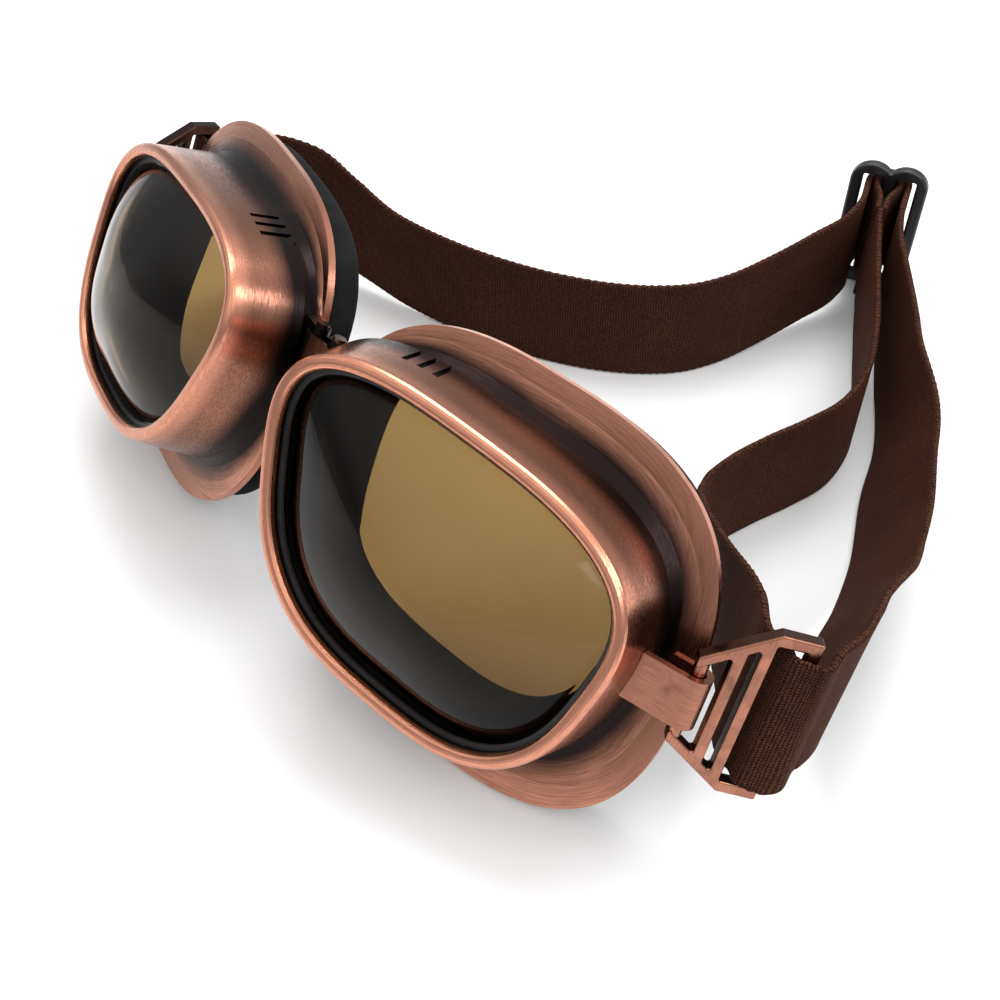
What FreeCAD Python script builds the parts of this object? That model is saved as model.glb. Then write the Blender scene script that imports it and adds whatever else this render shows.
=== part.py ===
"""Goggles with two copper cups, a hinged bridge, folded tabs, buckles and a webbing strap.

Each cup is drawn in its own frame: X runs across the lens, Y runs from the rim back to the face
and Z runs up. The two cups mirror each other and lean back on the floor, and the strap stands on
its edge behind them. Millimetres, +Z up, floor at zero.
"""
import FreeCAD, Part
import math
import os

Vector = FreeCAD.Vector
Rotation = FreeCAD.Rotation
Placement = FreeCAD.Placement

# Driving sizes: lengths in millimetres, angles in degrees
SIZES = (
    # Stance of the pair
    ("cup_spacing", 91.4),
    ("cup_rise", 45.7),
    ("lean_angle", 32.4),
    ("yaw_angle", 14.2),
    ("roll_angle", 6.6),
    ("origin_across", 5.5),
    ("origin_back", 79.0),
    # Lens opening
    ("opening_width", 65.4),
    ("opening_height", 47.8),
    # Bezel
    ("rim_width", 2.7),
    ("rim_round", 1.3),
    ("lip_round", 1.0),
    ("lip_depth", 2.4),
    ("bezel_depth", 14.0),
    ("bezel_flare", 1.6),
    ("bezel_wall", 0.9),
    ("vent_width", 1.2),
    ("vent_length", 6.0),
    ("vent_pitch", 3.2),
    ("vent_offset", 16.0),
    # Lens and what holds it
    ("lens_thickness", 2.0),
    ("lens_bulge", 9.5),
    ("lens_edge", 1.2),
    ("gasket_reveal", 0.9),
    ("gasket_front", 0.7),
    ("retainer_thickness", 1.8),
    ("sleeve_offset", 0.5),
    ("sleeve_wall", 1.2),
    ("sleeve_taper", 3.1),
    # Flange
    ("flange_width", 80.9),
    ("flange_height", 73.6),
    ("flange_across", 4.1),
    ("flange_drop", 1.7),
    ("flange_depth", 4.5),
    ("flange_edge", 1.5),
    ("flange_sheet", 1.2),
    ("neck_length", 2.5),
    ("seam_gap", 0.4),
    ("flange_vent", 1.6),
    # Face pad
    ("pad_depth", 7.4),
    ("pad_inset", 1.2),
    ("pad_width", 10.0),
    ("pad_round", 2.2),
    # Bridge
    ("bridge_back", 6.8),
    ("bridge_up", 14.0),
    ("pin_spacing", 5.2),
    ("pin_radius", 0.8),
    ("link_height", 6.0),
    ("link_wall", 0.8),
    ("ear_radius", 1.7),
    ("ear_thickness", 1.4),
    ("ear_reach", 9.0),
    ("pin_head_radius", 1.2),
    ("pin_head_height", 0.6),
    # Tab
    ("tab_width", 9.4),
    ("tab_thickness", 1.2),
    ("tab_across", 46.3),
    ("tab_back", 11.0),
    ("tab_up", 0.5),
    ("tab_tilt", 8.0),
    ("tab_return", 5.0),
    # Buckle
    ("left_swing", 30.0),
    ("right_swing", 72.0),
    ("buckle_thickness", 2.6),
    ("buckle_height", 31.6),
    ("buckle_throat", 16.6),
    ("buckle_corner", 9.8),
    ("buckle_rail", 2.2),
    ("bar_radius", 1.2),
    ("bar_width", 2.0),
    ("tab_slot", 3.9),
    ("middle_slot", 1.8),
    ("strap_slot", 4.8),
    ("buckle_round", 0.4),
    # Strap
    ("strap_width", 26.4),
    ("strap_thickness", 1.6),
    ("strap_reach", 170.0),
    ("hem_tail", 8.0),
    # Slider
    ("slider_height", 34.0),
    ("slider_thickness", 2.6),
    ("slider_bar", 2.6),
    ("slider_rail", 2.9),
    ("slider_slot", 5.0),
    ("slider_turn", 30.0),
    ("slider_round", 0.6),
    # Clearances and overrun of cuts
    ("fit_gap", 0.1),
    ("run_gap", 0.25),
    ("overrun", 1.0),
)

# Rounded outlines: squareness power, taper towards the bottom and slope of the top edge
OPENING_SHAPE_SHARES = (0.68, 0.17, -0.136)
FLANGE_SHAPE_SHARES = (0.72, 0.02, -0.08)
OUTLINE_POINTS = 44
ROUND_STEPS = 4
VENTS = 3
MAX_TURN = 10.0

# Flange neck: share of the bezel's flare that it follows
NECK_SHARE = 0.6
# Slider top: shoulders and middle notch, as shares of the slider's half length
SLIDER_SHOULDER_SHARE = 0.5
SLIDER_NOTCH_SHARE = 0.2
# Lens dome: outline scale of each section
DOME_SHARES = (1.0, 0.86, 0.72, 0.58, 0.44, 0.30, 0.16, 0.06)
# Face pad sides: share of the pad's depth and share of its rounding
PAD_SIDE_SHARES = ((0.0, 0.5), (0.2, 0.1), (0.45, 0.0), (0.7, 0.2), (0.88, 0.6), (1.0, 1.3))

# Strap routes: across and back as shares of the strap's reach, up as a share of its width
BACK_ROUTE_SHARES = (
    (-0.525, 0.317, 0.958), (-0.497, 0.362, 0.814), (-0.424, 0.391, 0.655), (-0.329, 0.412, 0.542),
    (-0.247, 0.438, 0.504), (-0.171, 0.468, 0.500), (-0.100, 0.506, 0.500), (-0.047, 0.544, 0.500),
    (-0.006, 0.585, 0.500), (0.024, 0.629, 0.500), (0.041, 0.682, 0.500), (0.049, 0.747, 0.510),
    (0.056, 0.830, 0.550), (0.061, 0.890, 0.600),
)
OUTER_ROUTE_SHARES = (
    (0.591, 0.226, 1.295), (0.587, 0.256, 1.223), (0.568, 0.306, 1.072), (0.538, 0.356, 0.902),
    (0.508, 0.412, 0.712), (0.475, 0.488, 0.520), (0.441, 0.553, 0.486), (0.388, 0.629, 0.483),
    (0.335, 0.706, 0.492), (0.259, 0.785, 0.518), (0.176, 0.871, 0.570), (0.129, 0.918, 0.614),
)
INNER_ROUTE_SHARES = (
    (0.494, 0.224, 1.230), (0.441, 0.265, 1.030), (0.388, 0.303, 0.845), (0.338, 0.338, 0.663),
    (0.303, 0.368, 0.561), (0.284, 0.400, 0.515), (0.278, 0.441, 0.500), (0.282, 0.494, 0.500),
    (0.292, 0.559, 0.500), (0.296, 0.612, 0.500), (0.279, 0.677, 0.500), (0.235, 0.747, 0.510),
    (0.171, 0.824, 0.560), (0.112, 0.894, 0.606),
)
SLIDER_PLACE_SHARES = (0.050, 0.988)
THREAD_MIDDLE = 3
# Strap through the buckle's last slot: along the buckle from the slot's centre as a share of the
# slot, and through it as a share of the plate's thickness
THREAD_SHARES = ((1.0, -0.96), (0.52, -0.96), (0.17, -0.75), (0.0, 0.0), (-0.14, 0.65), (-0.40, 1.5))
# Lean of the strap: share of the way along a stretch and the lean of its upper edge, in degrees,
# towards the middle of the loop
OUTER_LEANS = ((0.30, -8.0), (0.47, -24.0), (0.68, -26.0))

doc = FreeCAD.newDocument("goggles")
sheet = doc.addObject("Spreadsheet::Sheet", "dims")
for row, (alias, value) in enumerate(SIZES, start=1):
    sheet.set(f"A{row}", alias)
    sheet.set(f"B{row}", str(value))
    sheet.setAlias(f"B{row}", alias)
doc.recompute()
nodes = []


def size(alias):
    """Value of one driving size."""
    return float(sheet.get(alias))


def outline(width, height, shape, grow=0.0, across=0.0, up=0.0):
    """Points of a rounded outline, grown outward by a length, evenly spaced from the temple side."""
    power, taper, slope = shape
    fine = []
    steps = OUTLINE_POINTS * ROUND_STEPS * ROUND_STEPS
    for step in range(steps):
        turn = math.tau * step / steps
        side = math.copysign(abs(math.cos(turn)) ** power, math.cos(turn))
        rise = math.copysign(abs(math.sin(turn)) ** power, math.sin(turn))
        x = width / 2 * side * (1 + taper * rise)
        fine.append(Vector(x + across, height / 2 * rise + slope * x + up, 0))
    fine = respaced(fine, steps)
    grown = []
    for step in range(steps):
        along = fine[(step + 1) % steps] - fine[step - 1]
        outward = Vector(along.y, -along.x, 0).normalize()
        grown.append(fine[step] + outward * grow)
    return respaced(grown, OUTLINE_POINTS)


def respaced(points, count):
    """The same closed outline with evenly spaced points."""
    lengths = [0.0]
    closed = points + points[:1]
    for start, end in zip(closed, closed[1:]):
        lengths.append(lengths[-1] + start.distanceToPoint(end))
    spaced = []
    place = 0
    for step in range(count):
        target = lengths[-1] * step / count
        while lengths[place + 1] < target:
            place += 1
        share = (target - lengths[place]) / (lengths[place + 1] - lengths[place])
        spaced.append(closed[place] + (closed[place + 1] - closed[place]) * share)
    return spaced


def opening(grow=0.0, scale=1.0):
    """Outline of the lens opening, grown by a length."""
    points = outline(size("opening_width"), size("opening_height"), OPENING_SHAPE_SHARES, grow)
    return [point * scale for point in points]


def flange_outline(grow=0.0):
    """Outer outline of the flange, grown by a length."""
    return outline(size("flange_width"), size("flange_height"), FLANGE_SHAPE_SHARES, grow,
                   size("flange_across"), -size("flange_drop"))


def mixed(first, second, share):
    """Outline part of the way between two outlines."""
    return [start + (end - start) * share for start, end in zip(first, second)]


def mirrored(points, side):
    """Outline of the cup on the given side."""
    return [Vector(side * point.x, point.y, 0) for point in points]


def plane(body, role):
    """Origin plane of a body."""
    return next(item for item in body.Origin.OriginFeatures if item.Role == role)


def new_body(label):
    """Body of one piece, noted as a node."""
    body = doc.addObject("PartDesign::Body", label)
    body.Label = label
    nodes.append(body)
    return body


def sketch_on(body, role, geometry, lift="0"):
    """Sketch on an origin plane of its own body, lifted along the plane's normal."""
    sketch = body.newObject("Sketcher::SketchObject", body.Label + "_sketch")
    sketch.AttachmentSupport = (plane(body, role), [""])
    sketch.MapMode = "FlatFace"
    for curve in geometry:
        sketch.addGeometry(curve, False)
    sketch.setExpression("AttachmentOffset.Base.z", lift)
    return sketch


def closed_curve(points):
    """Smooth closed curve through points."""
    curve = Part.BSplineCurve()
    curve.interpolate(Points=points, PeriodicFlag=True)
    return curve


def polygon(points):
    """Closed run of straight lines through points."""
    return [Part.LineSegment(start, end) for start, end in zip(points, points[1:] + points[:1])]


def rectangle(left, right, low, high):
    """Four lines of a rectangle."""
    return polygon([Vector(left, low, 0), Vector(right, low, 0),
                    Vector(right, high, 0), Vector(left, high, 0)])


def loft(body, kind, sections, side, ruled=True):
    """Loft through cup outlines, each with its depth behind the rim as an expression."""
    sketches = []
    for points, depth in sections:
        curve = closed_curve(mirrored(points, side))
        sketches.append(sketch_on(body, "XZ_Plane", [curve], f"-({depth})"))
    feature = body.newObject("PartDesign::" + kind + "Loft", body.Label + "_loft")
    feature.Profile = sketches[0]
    feature.Sections = sketches[1:]
    feature.Ruled = ruled
    return feature


def pad(body, sketch, length, midplane=False, backwards=False):
    """Pad of a sketch with its length bound to the sizes."""
    feature = body.newObject("PartDesign::Pad", body.Label + "_pad")
    feature.Profile = sketch
    feature.setExpression("Length", length)
    feature.Midplane = midplane
    feature.Reversed = backwards
    return feature


def cut_through(body, sketch, upwards):
    """Pocket from a sketch to the end of the piece, along the sketch's normal if upwards."""
    feature = body.newObject("PartDesign::Pocket", body.Label + "_cut")
    feature.Profile = sketch
    feature.Type = "ThroughAll"
    feature.Reversed = upwards
    return feature


def round_edges(body, base, radius):
    """Small round on every edge of a piece."""
    doc.recompute()
    feature = body.newObject("PartDesign::Fillet", body.Label + "_round")
    feature.Base = (base, [""])
    feature.UseAllEdges = True
    feature.setExpression("Radius", radius)
    return feature


def cup_placement(side):
    """Frame of one cup: left is +1, right is -1."""
    turn = Rotation(Vector(1, 0, 0), -size("lean_angle"))
    turn = turn * Rotation(Vector(0, 0, 1), side * size("yaw_angle"))
    turn = turn * Rotation(Vector(0, 1, 0), -side * size("roll_angle"))
    across = side * size("cup_spacing") / 2 - size("origin_across")
    return Placement(Vector(across, -size("origin_back"), size("cup_rise")), turn)


def pair_placement():
    """Frame of the pair, leaned back like the cups, midway between them."""
    base = Vector(-size("origin_across"), -size("origin_back"), size("cup_rise"))
    return Placement(base, Rotation(Vector(1, 0, 0), -size("lean_angle")))


def hinge_placement(side):
    """Frame of the tab, at the axis of the buckle's round bar."""
    place = Vector(side * size("tab_across"), size("tab_back"), size("tab_up"))
    return cup_placement(side) * Placement(place, Rotation(Vector(1, 0, 0), size("tab_tilt")))


def buckle_placement(side):
    """Frame of the buckle, swung back about the tab's fold."""
    angle = size("left_swing") if side > 0 else -size("right_swing")
    swing = Rotation(Vector(0, 0, 1), angle)
    return hinge_placement(side) * Placement(Vector(), swing)


def slider_placement():
    """Frame of the slider: X along its short side, Z up."""
    reach = size("strap_reach")
    across, back = SLIDER_PLACE_SHARES
    place = Vector(across * reach, back * reach, size("slider_height") / 2)
    return Placement(floor_point(place), Rotation(Vector(0, 0, 1), size("slider_turn")))


def floor_point(point):
    """Point of the floor plan in the frame of the whole part."""
    return point - Vector(size("origin_across"), size("origin_back"), 0)


def seat_in_cup(body, side):
    """Places a cup's piece, bound to the stance of the pair."""
    body.Placement = cup_placement(side)
    body.setExpression("Placement.Base.x", f"{side} * dims.cup_spacing / 2 - dims.origin_across")
    body.setExpression("Placement.Base.y", "-dims.origin_back")
    body.setExpression("Placement.Base.z", "dims.cup_rise")


def cavity_grow():
    """Inside of the bezel's wall at its front, outside the lens opening."""
    return size("rim_width") - size("bezel_wall")


def vent_slots(side, front, rear):
    """Rectangles of the vent slits between two depths."""
    slots = []
    for step in range(VENTS):
        middle = -side * (size("vent_offset") + (step - (VENTS - 1) / 2) * size("vent_pitch"))
        half = size("vent_width") / 2
        slots += rectangle(middle - half, middle + half, front, rear)
    return slots


def build_bezel(name, side):
    """Frame of one lens: rounded rim, inner lip, deep wall, vent slits and the tab's slot."""
    body = new_body(name + "_bezel")
    rim, lip = size("rim_round"), size("lip_round")
    outer = []
    inner = []
    for step in range(ROUND_STEPS + 1):
        turn = math.pi / 2 * step / ROUND_STEPS
        grow = size("rim_width") - rim * (1 - math.sin(turn))
        outer.append((opening(grow), f"dims.rim_round * {1 - math.cos(turn)}"))
        inner.append((opening(lip * (1 - math.sin(turn))), f"dims.lip_round * {1 - math.cos(turn)}"))
    outer.append((opening(size("rim_width") + size("bezel_flare")), "dims.bezel_depth"))
    inner.append((opening(), "dims.lip_depth + dims.overrun"))
    loft(body, "Additive", outer, side)
    loft(body, "Subtractive", inner, side)
    rear_grow = cavity_grow() + size("bezel_flare")
    cavity = [(opening(cavity_grow()), "dims.lip_depth"), (opening(rear_grow), "dims.bezel_depth")]
    loft(body, "Subtractive", cavity, side)
    front = size("bezel_depth") - size("vent_length")
    slots = vent_slots(side, front, size("bezel_depth") + size("overrun"))
    for upwards in (True, False):
        cut_through(body, sketch_on(body, "XY_Plane", slots), upwards)
    reach = size("bar_radius") + size("run_gap") + size("tab_thickness") / 2
    thick = size("tab_thickness") / 2 + size("run_gap")
    wide = size("tab_width") / 2 + size("run_gap")
    tilt = Rotation(Vector(0, 0, 1), size("tab_tilt"))
    centre = Vector(size("tab_back"), size("tab_up"), 0)
    corners = [(-thick, -wide), (thick, -wide), (thick, wide), (-thick, wide)]
    slot = [centre + tilt.multVec(Vector(x - reach, y, 0)) for x, y in corners]
    cut_through(body, sketch_on(body, "YZ_Plane", polygon(slot)), side > 0)
    seat_in_cup(body, side)


def build_lens(name, side):
    """Domed lens with a flat edge that the gasket grips."""
    body = new_body(name + "_lens")
    front = "dims.lip_depth + dims.gasket_front"
    rear = front + " + dims.lens_thickness"
    dome_grow = -size("gasket_reveal") - size("run_gap")
    edge = [(opening(size("lens_edge")), rear), (opening(size("lens_edge")), front)]
    loft(body, "Additive", edge, side)
    inner_grow = dome_grow - size("lens_thickness") / 2
    for kind, grow, base in (("Additive", dome_grow, front), ("Subtractive", inner_grow, rear)):
        dome = [(opening(grow, share), f"{base} - dims.lens_bulge * {1 - share * share}")
                for share in DOME_SHARES]
        loft(body, kind, dome, side, ruled=False)
    seat_in_cup(body, side)


def build_gasket(name, side):
    """Rubber channel between the rim's lip and the lens."""
    body = new_body(name + "_lens_gasket")
    front = "dims.lip_depth"
    seat = front + " + dims.gasket_front"
    rear = seat + " + dims.lens_thickness"
    outside = opening(cavity_grow() - size("fit_gap"))
    loft(body, "Additive", [(outside, front), (outside, rear)], side)
    window = opening(-size("gasket_reveal"))
    past = rear + " + dims.overrun"
    loft(body, "Subtractive", [(window, front + " - dims.overrun"), (window, past)], side)
    pocket = opening(size("lens_edge") + size("fit_gap"))
    loft(body, "Subtractive", [(pocket, seat), (pocket, past)], side)
    seat_in_cup(body, side)


def ring(label, grows, wall, taper, front, rear, side):
    """Ring of one wall thickness between two depths, drawn in towards the rear by a taper."""
    body = new_body(label)
    rear_grow = grows - taper
    loft(body, "Additive", [(opening(grows), front), (opening(rear_grow), rear)], side)
    loft(body, "Subtractive", [(opening(grows - wall), front), (opening(rear_grow - wall), rear)], side)
    seat_in_cup(body, side)


def build_rings(name, side):
    """Retainer that presses the lens home, and the sleeve that lines the cup."""
    lens_rear = "dims.lip_depth + dims.gasket_front + dims.lens_thickness"
    sleeve_front = lens_rear + " + dims.retainer_thickness"
    outside = size("sleeve_offset")
    outer_grow = cavity_grow() - size("fit_gap")
    retainer_wall = outer_grow - outside + size("sleeve_wall")
    ring(name + "_lens_retainer", outer_grow, retainer_wall, 0, lens_rear, sleeve_front, side)
    ring(name + "_inner_sleeve", outside, size("sleeve_wall"), size("sleeve_taper"),
         sleeve_front, PAD_FRONT, side)


PAD_FRONT = "dims.bezel_depth + dims.seam_gap + dims.flange_depth + dims.flange_edge"


def build_flange(name, side):
    """Flared skirt whose neck sits in the bezel, with two ears for the bridge pin."""
    body = new_body(name + "_flange")
    sheet_metal = size("flange_sheet")
    neck_grow = cavity_grow() + size("bezel_flare") * NECK_SHARE
    neck_front = "dims.bezel_depth - dims.neck_length"
    flare_front = "dims.bezel_depth + dims.seam_gap"
    outer = [(opening(neck_grow), neck_front)]
    inner = [(opening(neck_grow - sheet_metal), neck_front + " - dims.overrun")]
    for step in range(ROUND_STEPS + 1):
        turn = math.pi / 2 * step / ROUND_STEPS
        spread = 1 - math.cos(turn)
        depth = f"{flare_front} + dims.flange_depth * {math.sin(turn)}"
        outer.append((mixed(opening(neck_grow), flange_outline(), spread), depth))
        hollow = mixed(opening(neck_grow - sheet_metal), flange_outline(-sheet_metal), spread)
        inner.append((hollow, f"{depth} + dims.flange_sheet * {math.sin(turn)}"))
    outer.append((flange_outline(), PAD_FRONT))
    inner.append((flange_outline(-sheet_metal), PAD_FRONT + " + dims.overrun"))
    loft(body, "Additive", outer, side)
    pin = bridge_pin_in_cup(side)
    half_link = size("link_height") / 2 + size("run_gap")
    for low in (half_link, -half_link - size("ear_thickness")):
        ear = sketch_on(body, "XY_Plane", ear_outline(side))
        ear.clearExpression("AttachmentOffset.Base.z")
        tilt = Rotation(Vector(0, 1, 0), side * size("roll_angle"))
        ear.AttachmentOffset = Placement(pin + tilt.multVec(Vector(0, 0, low)), tilt)
        pad(body, ear, "dims.ear_thickness")
    loft(body, "Subtractive", inner, side)
    seam = size("bezel_depth")
    slots = vent_slots(side, seam - size("vent_length"), seam + size("flange_vent"))
    for upwards in (True, False):
        cut_through(body, sketch_on(body, "XY_Plane", slots), upwards)
    for low in (half_link, -half_link - size("ear_thickness")):
        bore = [Part.Circle(Vector(), Vector(0, 0, 1), size("pin_radius") + size("fit_gap") / 2)]
        hole = sketch_on(body, "XY_Plane", bore)
        hole.clearExpression("AttachmentOffset.Base.z")
        tilt = Rotation(Vector(0, 1, 0), side * size("roll_angle"))
        hole.AttachmentOffset = Placement(pin + tilt.multVec(Vector(0, 0, low)), tilt)
        drill = body.newObject("PartDesign::Pocket", body.Label + "_bore")
        drill.Profile = hole
        drill.setExpression("Length", "dims.ear_thickness")
        drill.Reversed = True
    seat_in_cup(body, side)


def ear_outline(side):
    """Outline of one ear: round about the pin, running straight into the flange."""
    radius = size("ear_radius")
    reach = size("ear_reach")
    tip = Part.Arc(Vector(0, radius, 0), Vector(-side * radius, 0, 0), Vector(0, -radius, 0))
    return [tip, Part.LineSegment(Vector(0, -radius, 0), Vector(side * reach, -radius, 0)),
            Part.LineSegment(Vector(side * reach, -radius, 0), Vector(side * reach, radius, 0)),
            Part.LineSegment(Vector(side * reach, radius, 0), Vector(0, radius, 0))]


def bridge_pin_point(side):
    """Middle of one bridge pin in the frame of the pair."""
    return Vector(side * size("pin_spacing") / 2, size("bridge_back"), size("bridge_up"))


def bridge_pin_in_cup(side):
    """Middle of one bridge pin in the frame of its cup."""
    world = pair_placement().multVec(bridge_pin_point(side))
    return cup_placement(side).inverse().multVec(world)


def build_pad(name, side):
    """Foam ring on the back of the flange, with rounded, drawn-in sides."""
    body = new_body(name + "_face_pad")
    outer = []
    inner = []
    for depth_share, round_share in PAD_SIDE_SHARES:
        depth = f"{PAD_FRONT} + dims.pad_depth * {depth_share}"
        draw = size("pad_round") * round_share
        outer.append((flange_outline(-size("pad_inset") - draw), depth))
        inner.append((flange_outline(-size("pad_inset") - size("pad_width") + draw), depth))
    loft(body, "Additive", outer, side)
    loft(body, "Subtractive", inner, side)
    seat_in_cup(body, side)


def build_tab(name, side):
    """Strip from inside the bezel's wall, through its slot and folded round the buckle's bar."""
    body = new_body(name + "_tab")
    thick = size("tab_thickness")
    bend = size("bar_radius") + size("run_gap")
    fold = bend + thick
    root = opening_reach() + cavity_grow() - thick - size("tab_across")
    back_end = -size("tab_return")
    points = [(root, -fold), (0, -fold), (0, fold), (back_end, fold), (back_end, bend), (0, bend),
              (0, -bend), (root, -bend)]
    corners = [Vector(side * x, y, 0) for x, y in points]
    outer_mid = Vector(side * fold, 0, 0)
    inner_mid = Vector(side * bend, 0, 0)
    geometry = [Part.LineSegment(corners[0], corners[1]), Part.Arc(corners[1], outer_mid, corners[2])]
    geometry += polygon(corners[2:6])[:-1]
    geometry.append(Part.Arc(corners[5], inner_mid, corners[6]))
    geometry += polygon(corners[6:] + corners[:1])[:-1]
    pad(body, sketch_on(body, "XY_Plane", geometry), "dims.tab_width", midplane=True)
    body.Placement = hinge_placement(side)


def opening_reach():
    """Distance from the cup's middle to the lens opening where the tab leaves."""
    level = size("tab_up")
    return max(point.x for point in opening() if abs(point.y - level) < size("tab_width"))


def buckle_stations():
    """Places along the buckle: end of each slot and bar from the hinge axis on."""
    first = size("tab_slot")
    second = first + size("bar_width")
    third = second + size("middle_slot")
    fourth = third + size("bar_width")
    fifth = fourth + size("strap_slot")
    return first, second, third, fourth, fifth, fifth + size("bar_width")


def build_buckle(name, side):
    """Plate that widens from the tab's bar to the strap, with three slots."""
    body = new_body(name + "_buckle")
    first, second, third, fourth, fifth, end = buckle_stations()
    throat, half = size("buckle_throat") / 2, size("buckle_height") / 2
    rail, corner = size("buckle_rail"), size("buckle_corner")
    left = -size("bar_radius")

    def inside(along):
        """Half height of the slots at a place along the buckle."""
        share = min(1.0, (along - left) / (corner - left))
        return throat + (half - throat) * share - rail

    upper = [(left, inside(left)), (left, throat), (corner, half), (end, half)]
    lower = [(x, -z) for x, z in reversed(upper)]
    mouth = [(first, -inside(first)), (first, inside(first))]
    slots = [[(second, -inside(second)), (third, -inside(third)), (third, inside(third)),
              (second, inside(second))],
             [(fourth, -half + rail), (fifth, -half + rail), (fifth, half - rail), (fourth, half - rail)]]
    geometry = []
    for loop in [upper + lower + mouth] + slots:
        geometry += polygon([Vector(side * x, z, 0) for x, z in loop])
    sketch = sketch_on(body, "XZ_Plane", geometry)
    plate = pad(body, sketch, "dims.buckle_thickness", midplane=True)
    round_edges(body, plate, "dims.buckle_round")
    bar = [Part.Circle(Vector(), Vector(0, 0, 1), size("bar_radius"))]
    pad(body, sketch_on(body, "XY_Plane", bar), "dims.buckle_throat - dims.buckle_rail", midplane=True)
    body.Placement = buckle_placement(side)


def build_bridge():
    """Oblong strip loop round the two pins, and the pins with their heads."""
    link = new_body("bridge_link")
    inner = size("pin_radius") + size("run_gap")
    for radius, kind in ((inner + size("link_wall"), "Pad"), (inner, "Pocket")):
        half = size("pin_spacing") / 2
        right, left = Vector(half, 0, 0), Vector(-half, 0, 0)
        up, out = Vector(0, radius, 0), Vector(radius, 0, 0)
        geometry = [Part.LineSegment(left - up, right - up), Part.Arc(right - up, right + out, right + up),
                    Part.LineSegment(right + up, left + up), Part.Arc(left + up, left - out, left - up)]
        sketch = sketch_on(link, "XY_Plane", geometry)
        if kind == "Pad":
            pad(link, sketch, "dims.link_height", midplane=True)
        else:
            window = link.newObject("PartDesign::Pocket", "bridge_link_window")
            window.Profile = sketch
            window.Type = "ThroughAll"
            window.Midplane = True
    centre = Vector(0, size("bridge_back"), size("bridge_up"))
    link.Placement = pair_placement() * Placement(centre, Rotation())
    for name, side in (("left", 1), ("right", -1)):
        pin = new_body(name + "_bridge_pin")
        shaft = [Part.Circle(Vector(), Vector(0, 0, 1), size("pin_radius"))]
        length = "dims.link_height + 2 * (dims.run_gap + dims.ear_thickness)"
        pad(pin, sketch_on(pin, "XY_Plane", shaft), length, midplane=True)
        head = [Part.Circle(Vector(), Vector(0, 0, 1), size("pin_head_radius"))]
        for lift, down in ((f"({length}) / 2", False), (f"-({length}) / 2", True)):
            pad(pin, sketch_on(pin, "XY_Plane", head, lift), "dims.pin_head_height", backwards=down)
        pin.Placement = pair_placement() * Placement(bridge_pin_point(side), Rotation())


def build_slider():
    """Three-bar slider that stands upright on its flat foot, with two rounded humps at the top."""
    body = new_body("strap_slider")
    half_bar = size("slider_bar") / 2
    slot_end = half_bar + size("slider_slot")
    half_length = slot_end + size("slider_rail")
    half_height = size("slider_height") / 2
    slot_half = half_height - size("slider_rail")
    shoulder = half_height - half_length * SLIDER_SHOULDER_SHARE
    notch = Vector(0, half_height - half_length * SLIDER_NOTCH_SHARE, 0)
    corners = [Vector(-half_length, shoulder, 0), Vector(-half_length, -half_height, 0),
               Vector(half_length, -half_height, 0), Vector(half_length, shoulder, 0)]
    geometry = polygon(corners)[:-1]
    for start, end, middle in ((corners[-1], notch, half_length / 2), (notch, corners[0], -half_length / 2)):
        geometry.append(Part.Arc(start, Vector(middle, half_height, 0), end))
    geometry += rectangle(half_bar, slot_end, -slot_half, slot_half)
    geometry += rectangle(-slot_end, -half_bar, -slot_half, slot_half)
    plate = pad(body, sketch_on(body, "XZ_Plane", geometry), "dims.slider_thickness", midplane=True)
    round_edges(body, plate, "dims.slider_round")
    body.Placement = slider_placement()


def hem_radius(bar_width, bar_thickness):
    """Radius of the hole of a hem that turns on a flat bar."""
    return math.hypot(bar_width, bar_thickness) / 2 + size("run_gap")


def build_hem(label, bar_width, bar_thickness, placement, direction):
    """Strap end folded round a bar and sewn to itself, with a tail along the direction."""
    body = new_body(label)
    hole = hem_radius(bar_width, bar_thickness)
    outer = hole + size("strap_thickness")
    tail = outer + size("hem_tail")
    half = size("strap_thickness")
    away = Vector(-direction.x * outer, -direction.y * outer, 0)
    across = Vector(-direction.y, direction.x, 0)
    start, end = across * outer, across * -outer
    tip_start, tip_end = direction * tail + across * half, direction * tail - across * half
    geometry = [Part.Arc(start, away, end), Part.LineSegment(end, tip_end),
                Part.LineSegment(tip_end, tip_start), Part.LineSegment(tip_start, start)]
    geometry.append(Part.Circle(Vector(), Vector(0, 0, 1), hole))
    pad(body, sketch_on(body, "XY_Plane", geometry), "dims.strap_width", midplane=True)
    body.Placement = placement
    return placement.multVec(direction * tail)


def route_points(shares):
    """Points of a strap route in the frame of the whole part."""
    reach = size("strap_reach")
    width = size("strap_width")
    return [floor_point(Vector(x * reach, y * reach, z * width)) for x, y, z in shares]


def thread_points():
    """Strap through the left buckle's last slot, from its outer side to its inner side."""
    slot = size("strap_slot")
    centre = buckle_stations()[3] + slot / 2
    thick = size("buckle_thickness")
    place = buckle_placement(1)
    return [place.multVec(Vector(centre + x * slot, y * thick, 0)) for x, y in THREAD_SHARES]


def loop_points():
    """Strap round the slider's middle bar, from its outer strand to its back strand."""
    thick = size("strap_thickness")
    radius = hem_radius(size("slider_bar"), size("slider_thickness")) + thick + size("run_gap") + thick / 2
    place = slider_placement()
    lead = size("slider_slot")
    points = [Vector(radius, -lead - radius, 0), Vector(radius, -lead / 2, 0)]
    for step in range(ROUND_STEPS * 2 + 1):
        turn = math.pi * step / (ROUND_STEPS * 2)
        points.append(Vector(radius * math.cos(turn), radius * math.sin(turn), 0))
    points += [Vector(-radius, -lead / 2, 0), Vector(-radius, -lead - radius, 0)]
    return [place.multVec(point) for point in points]


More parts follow.
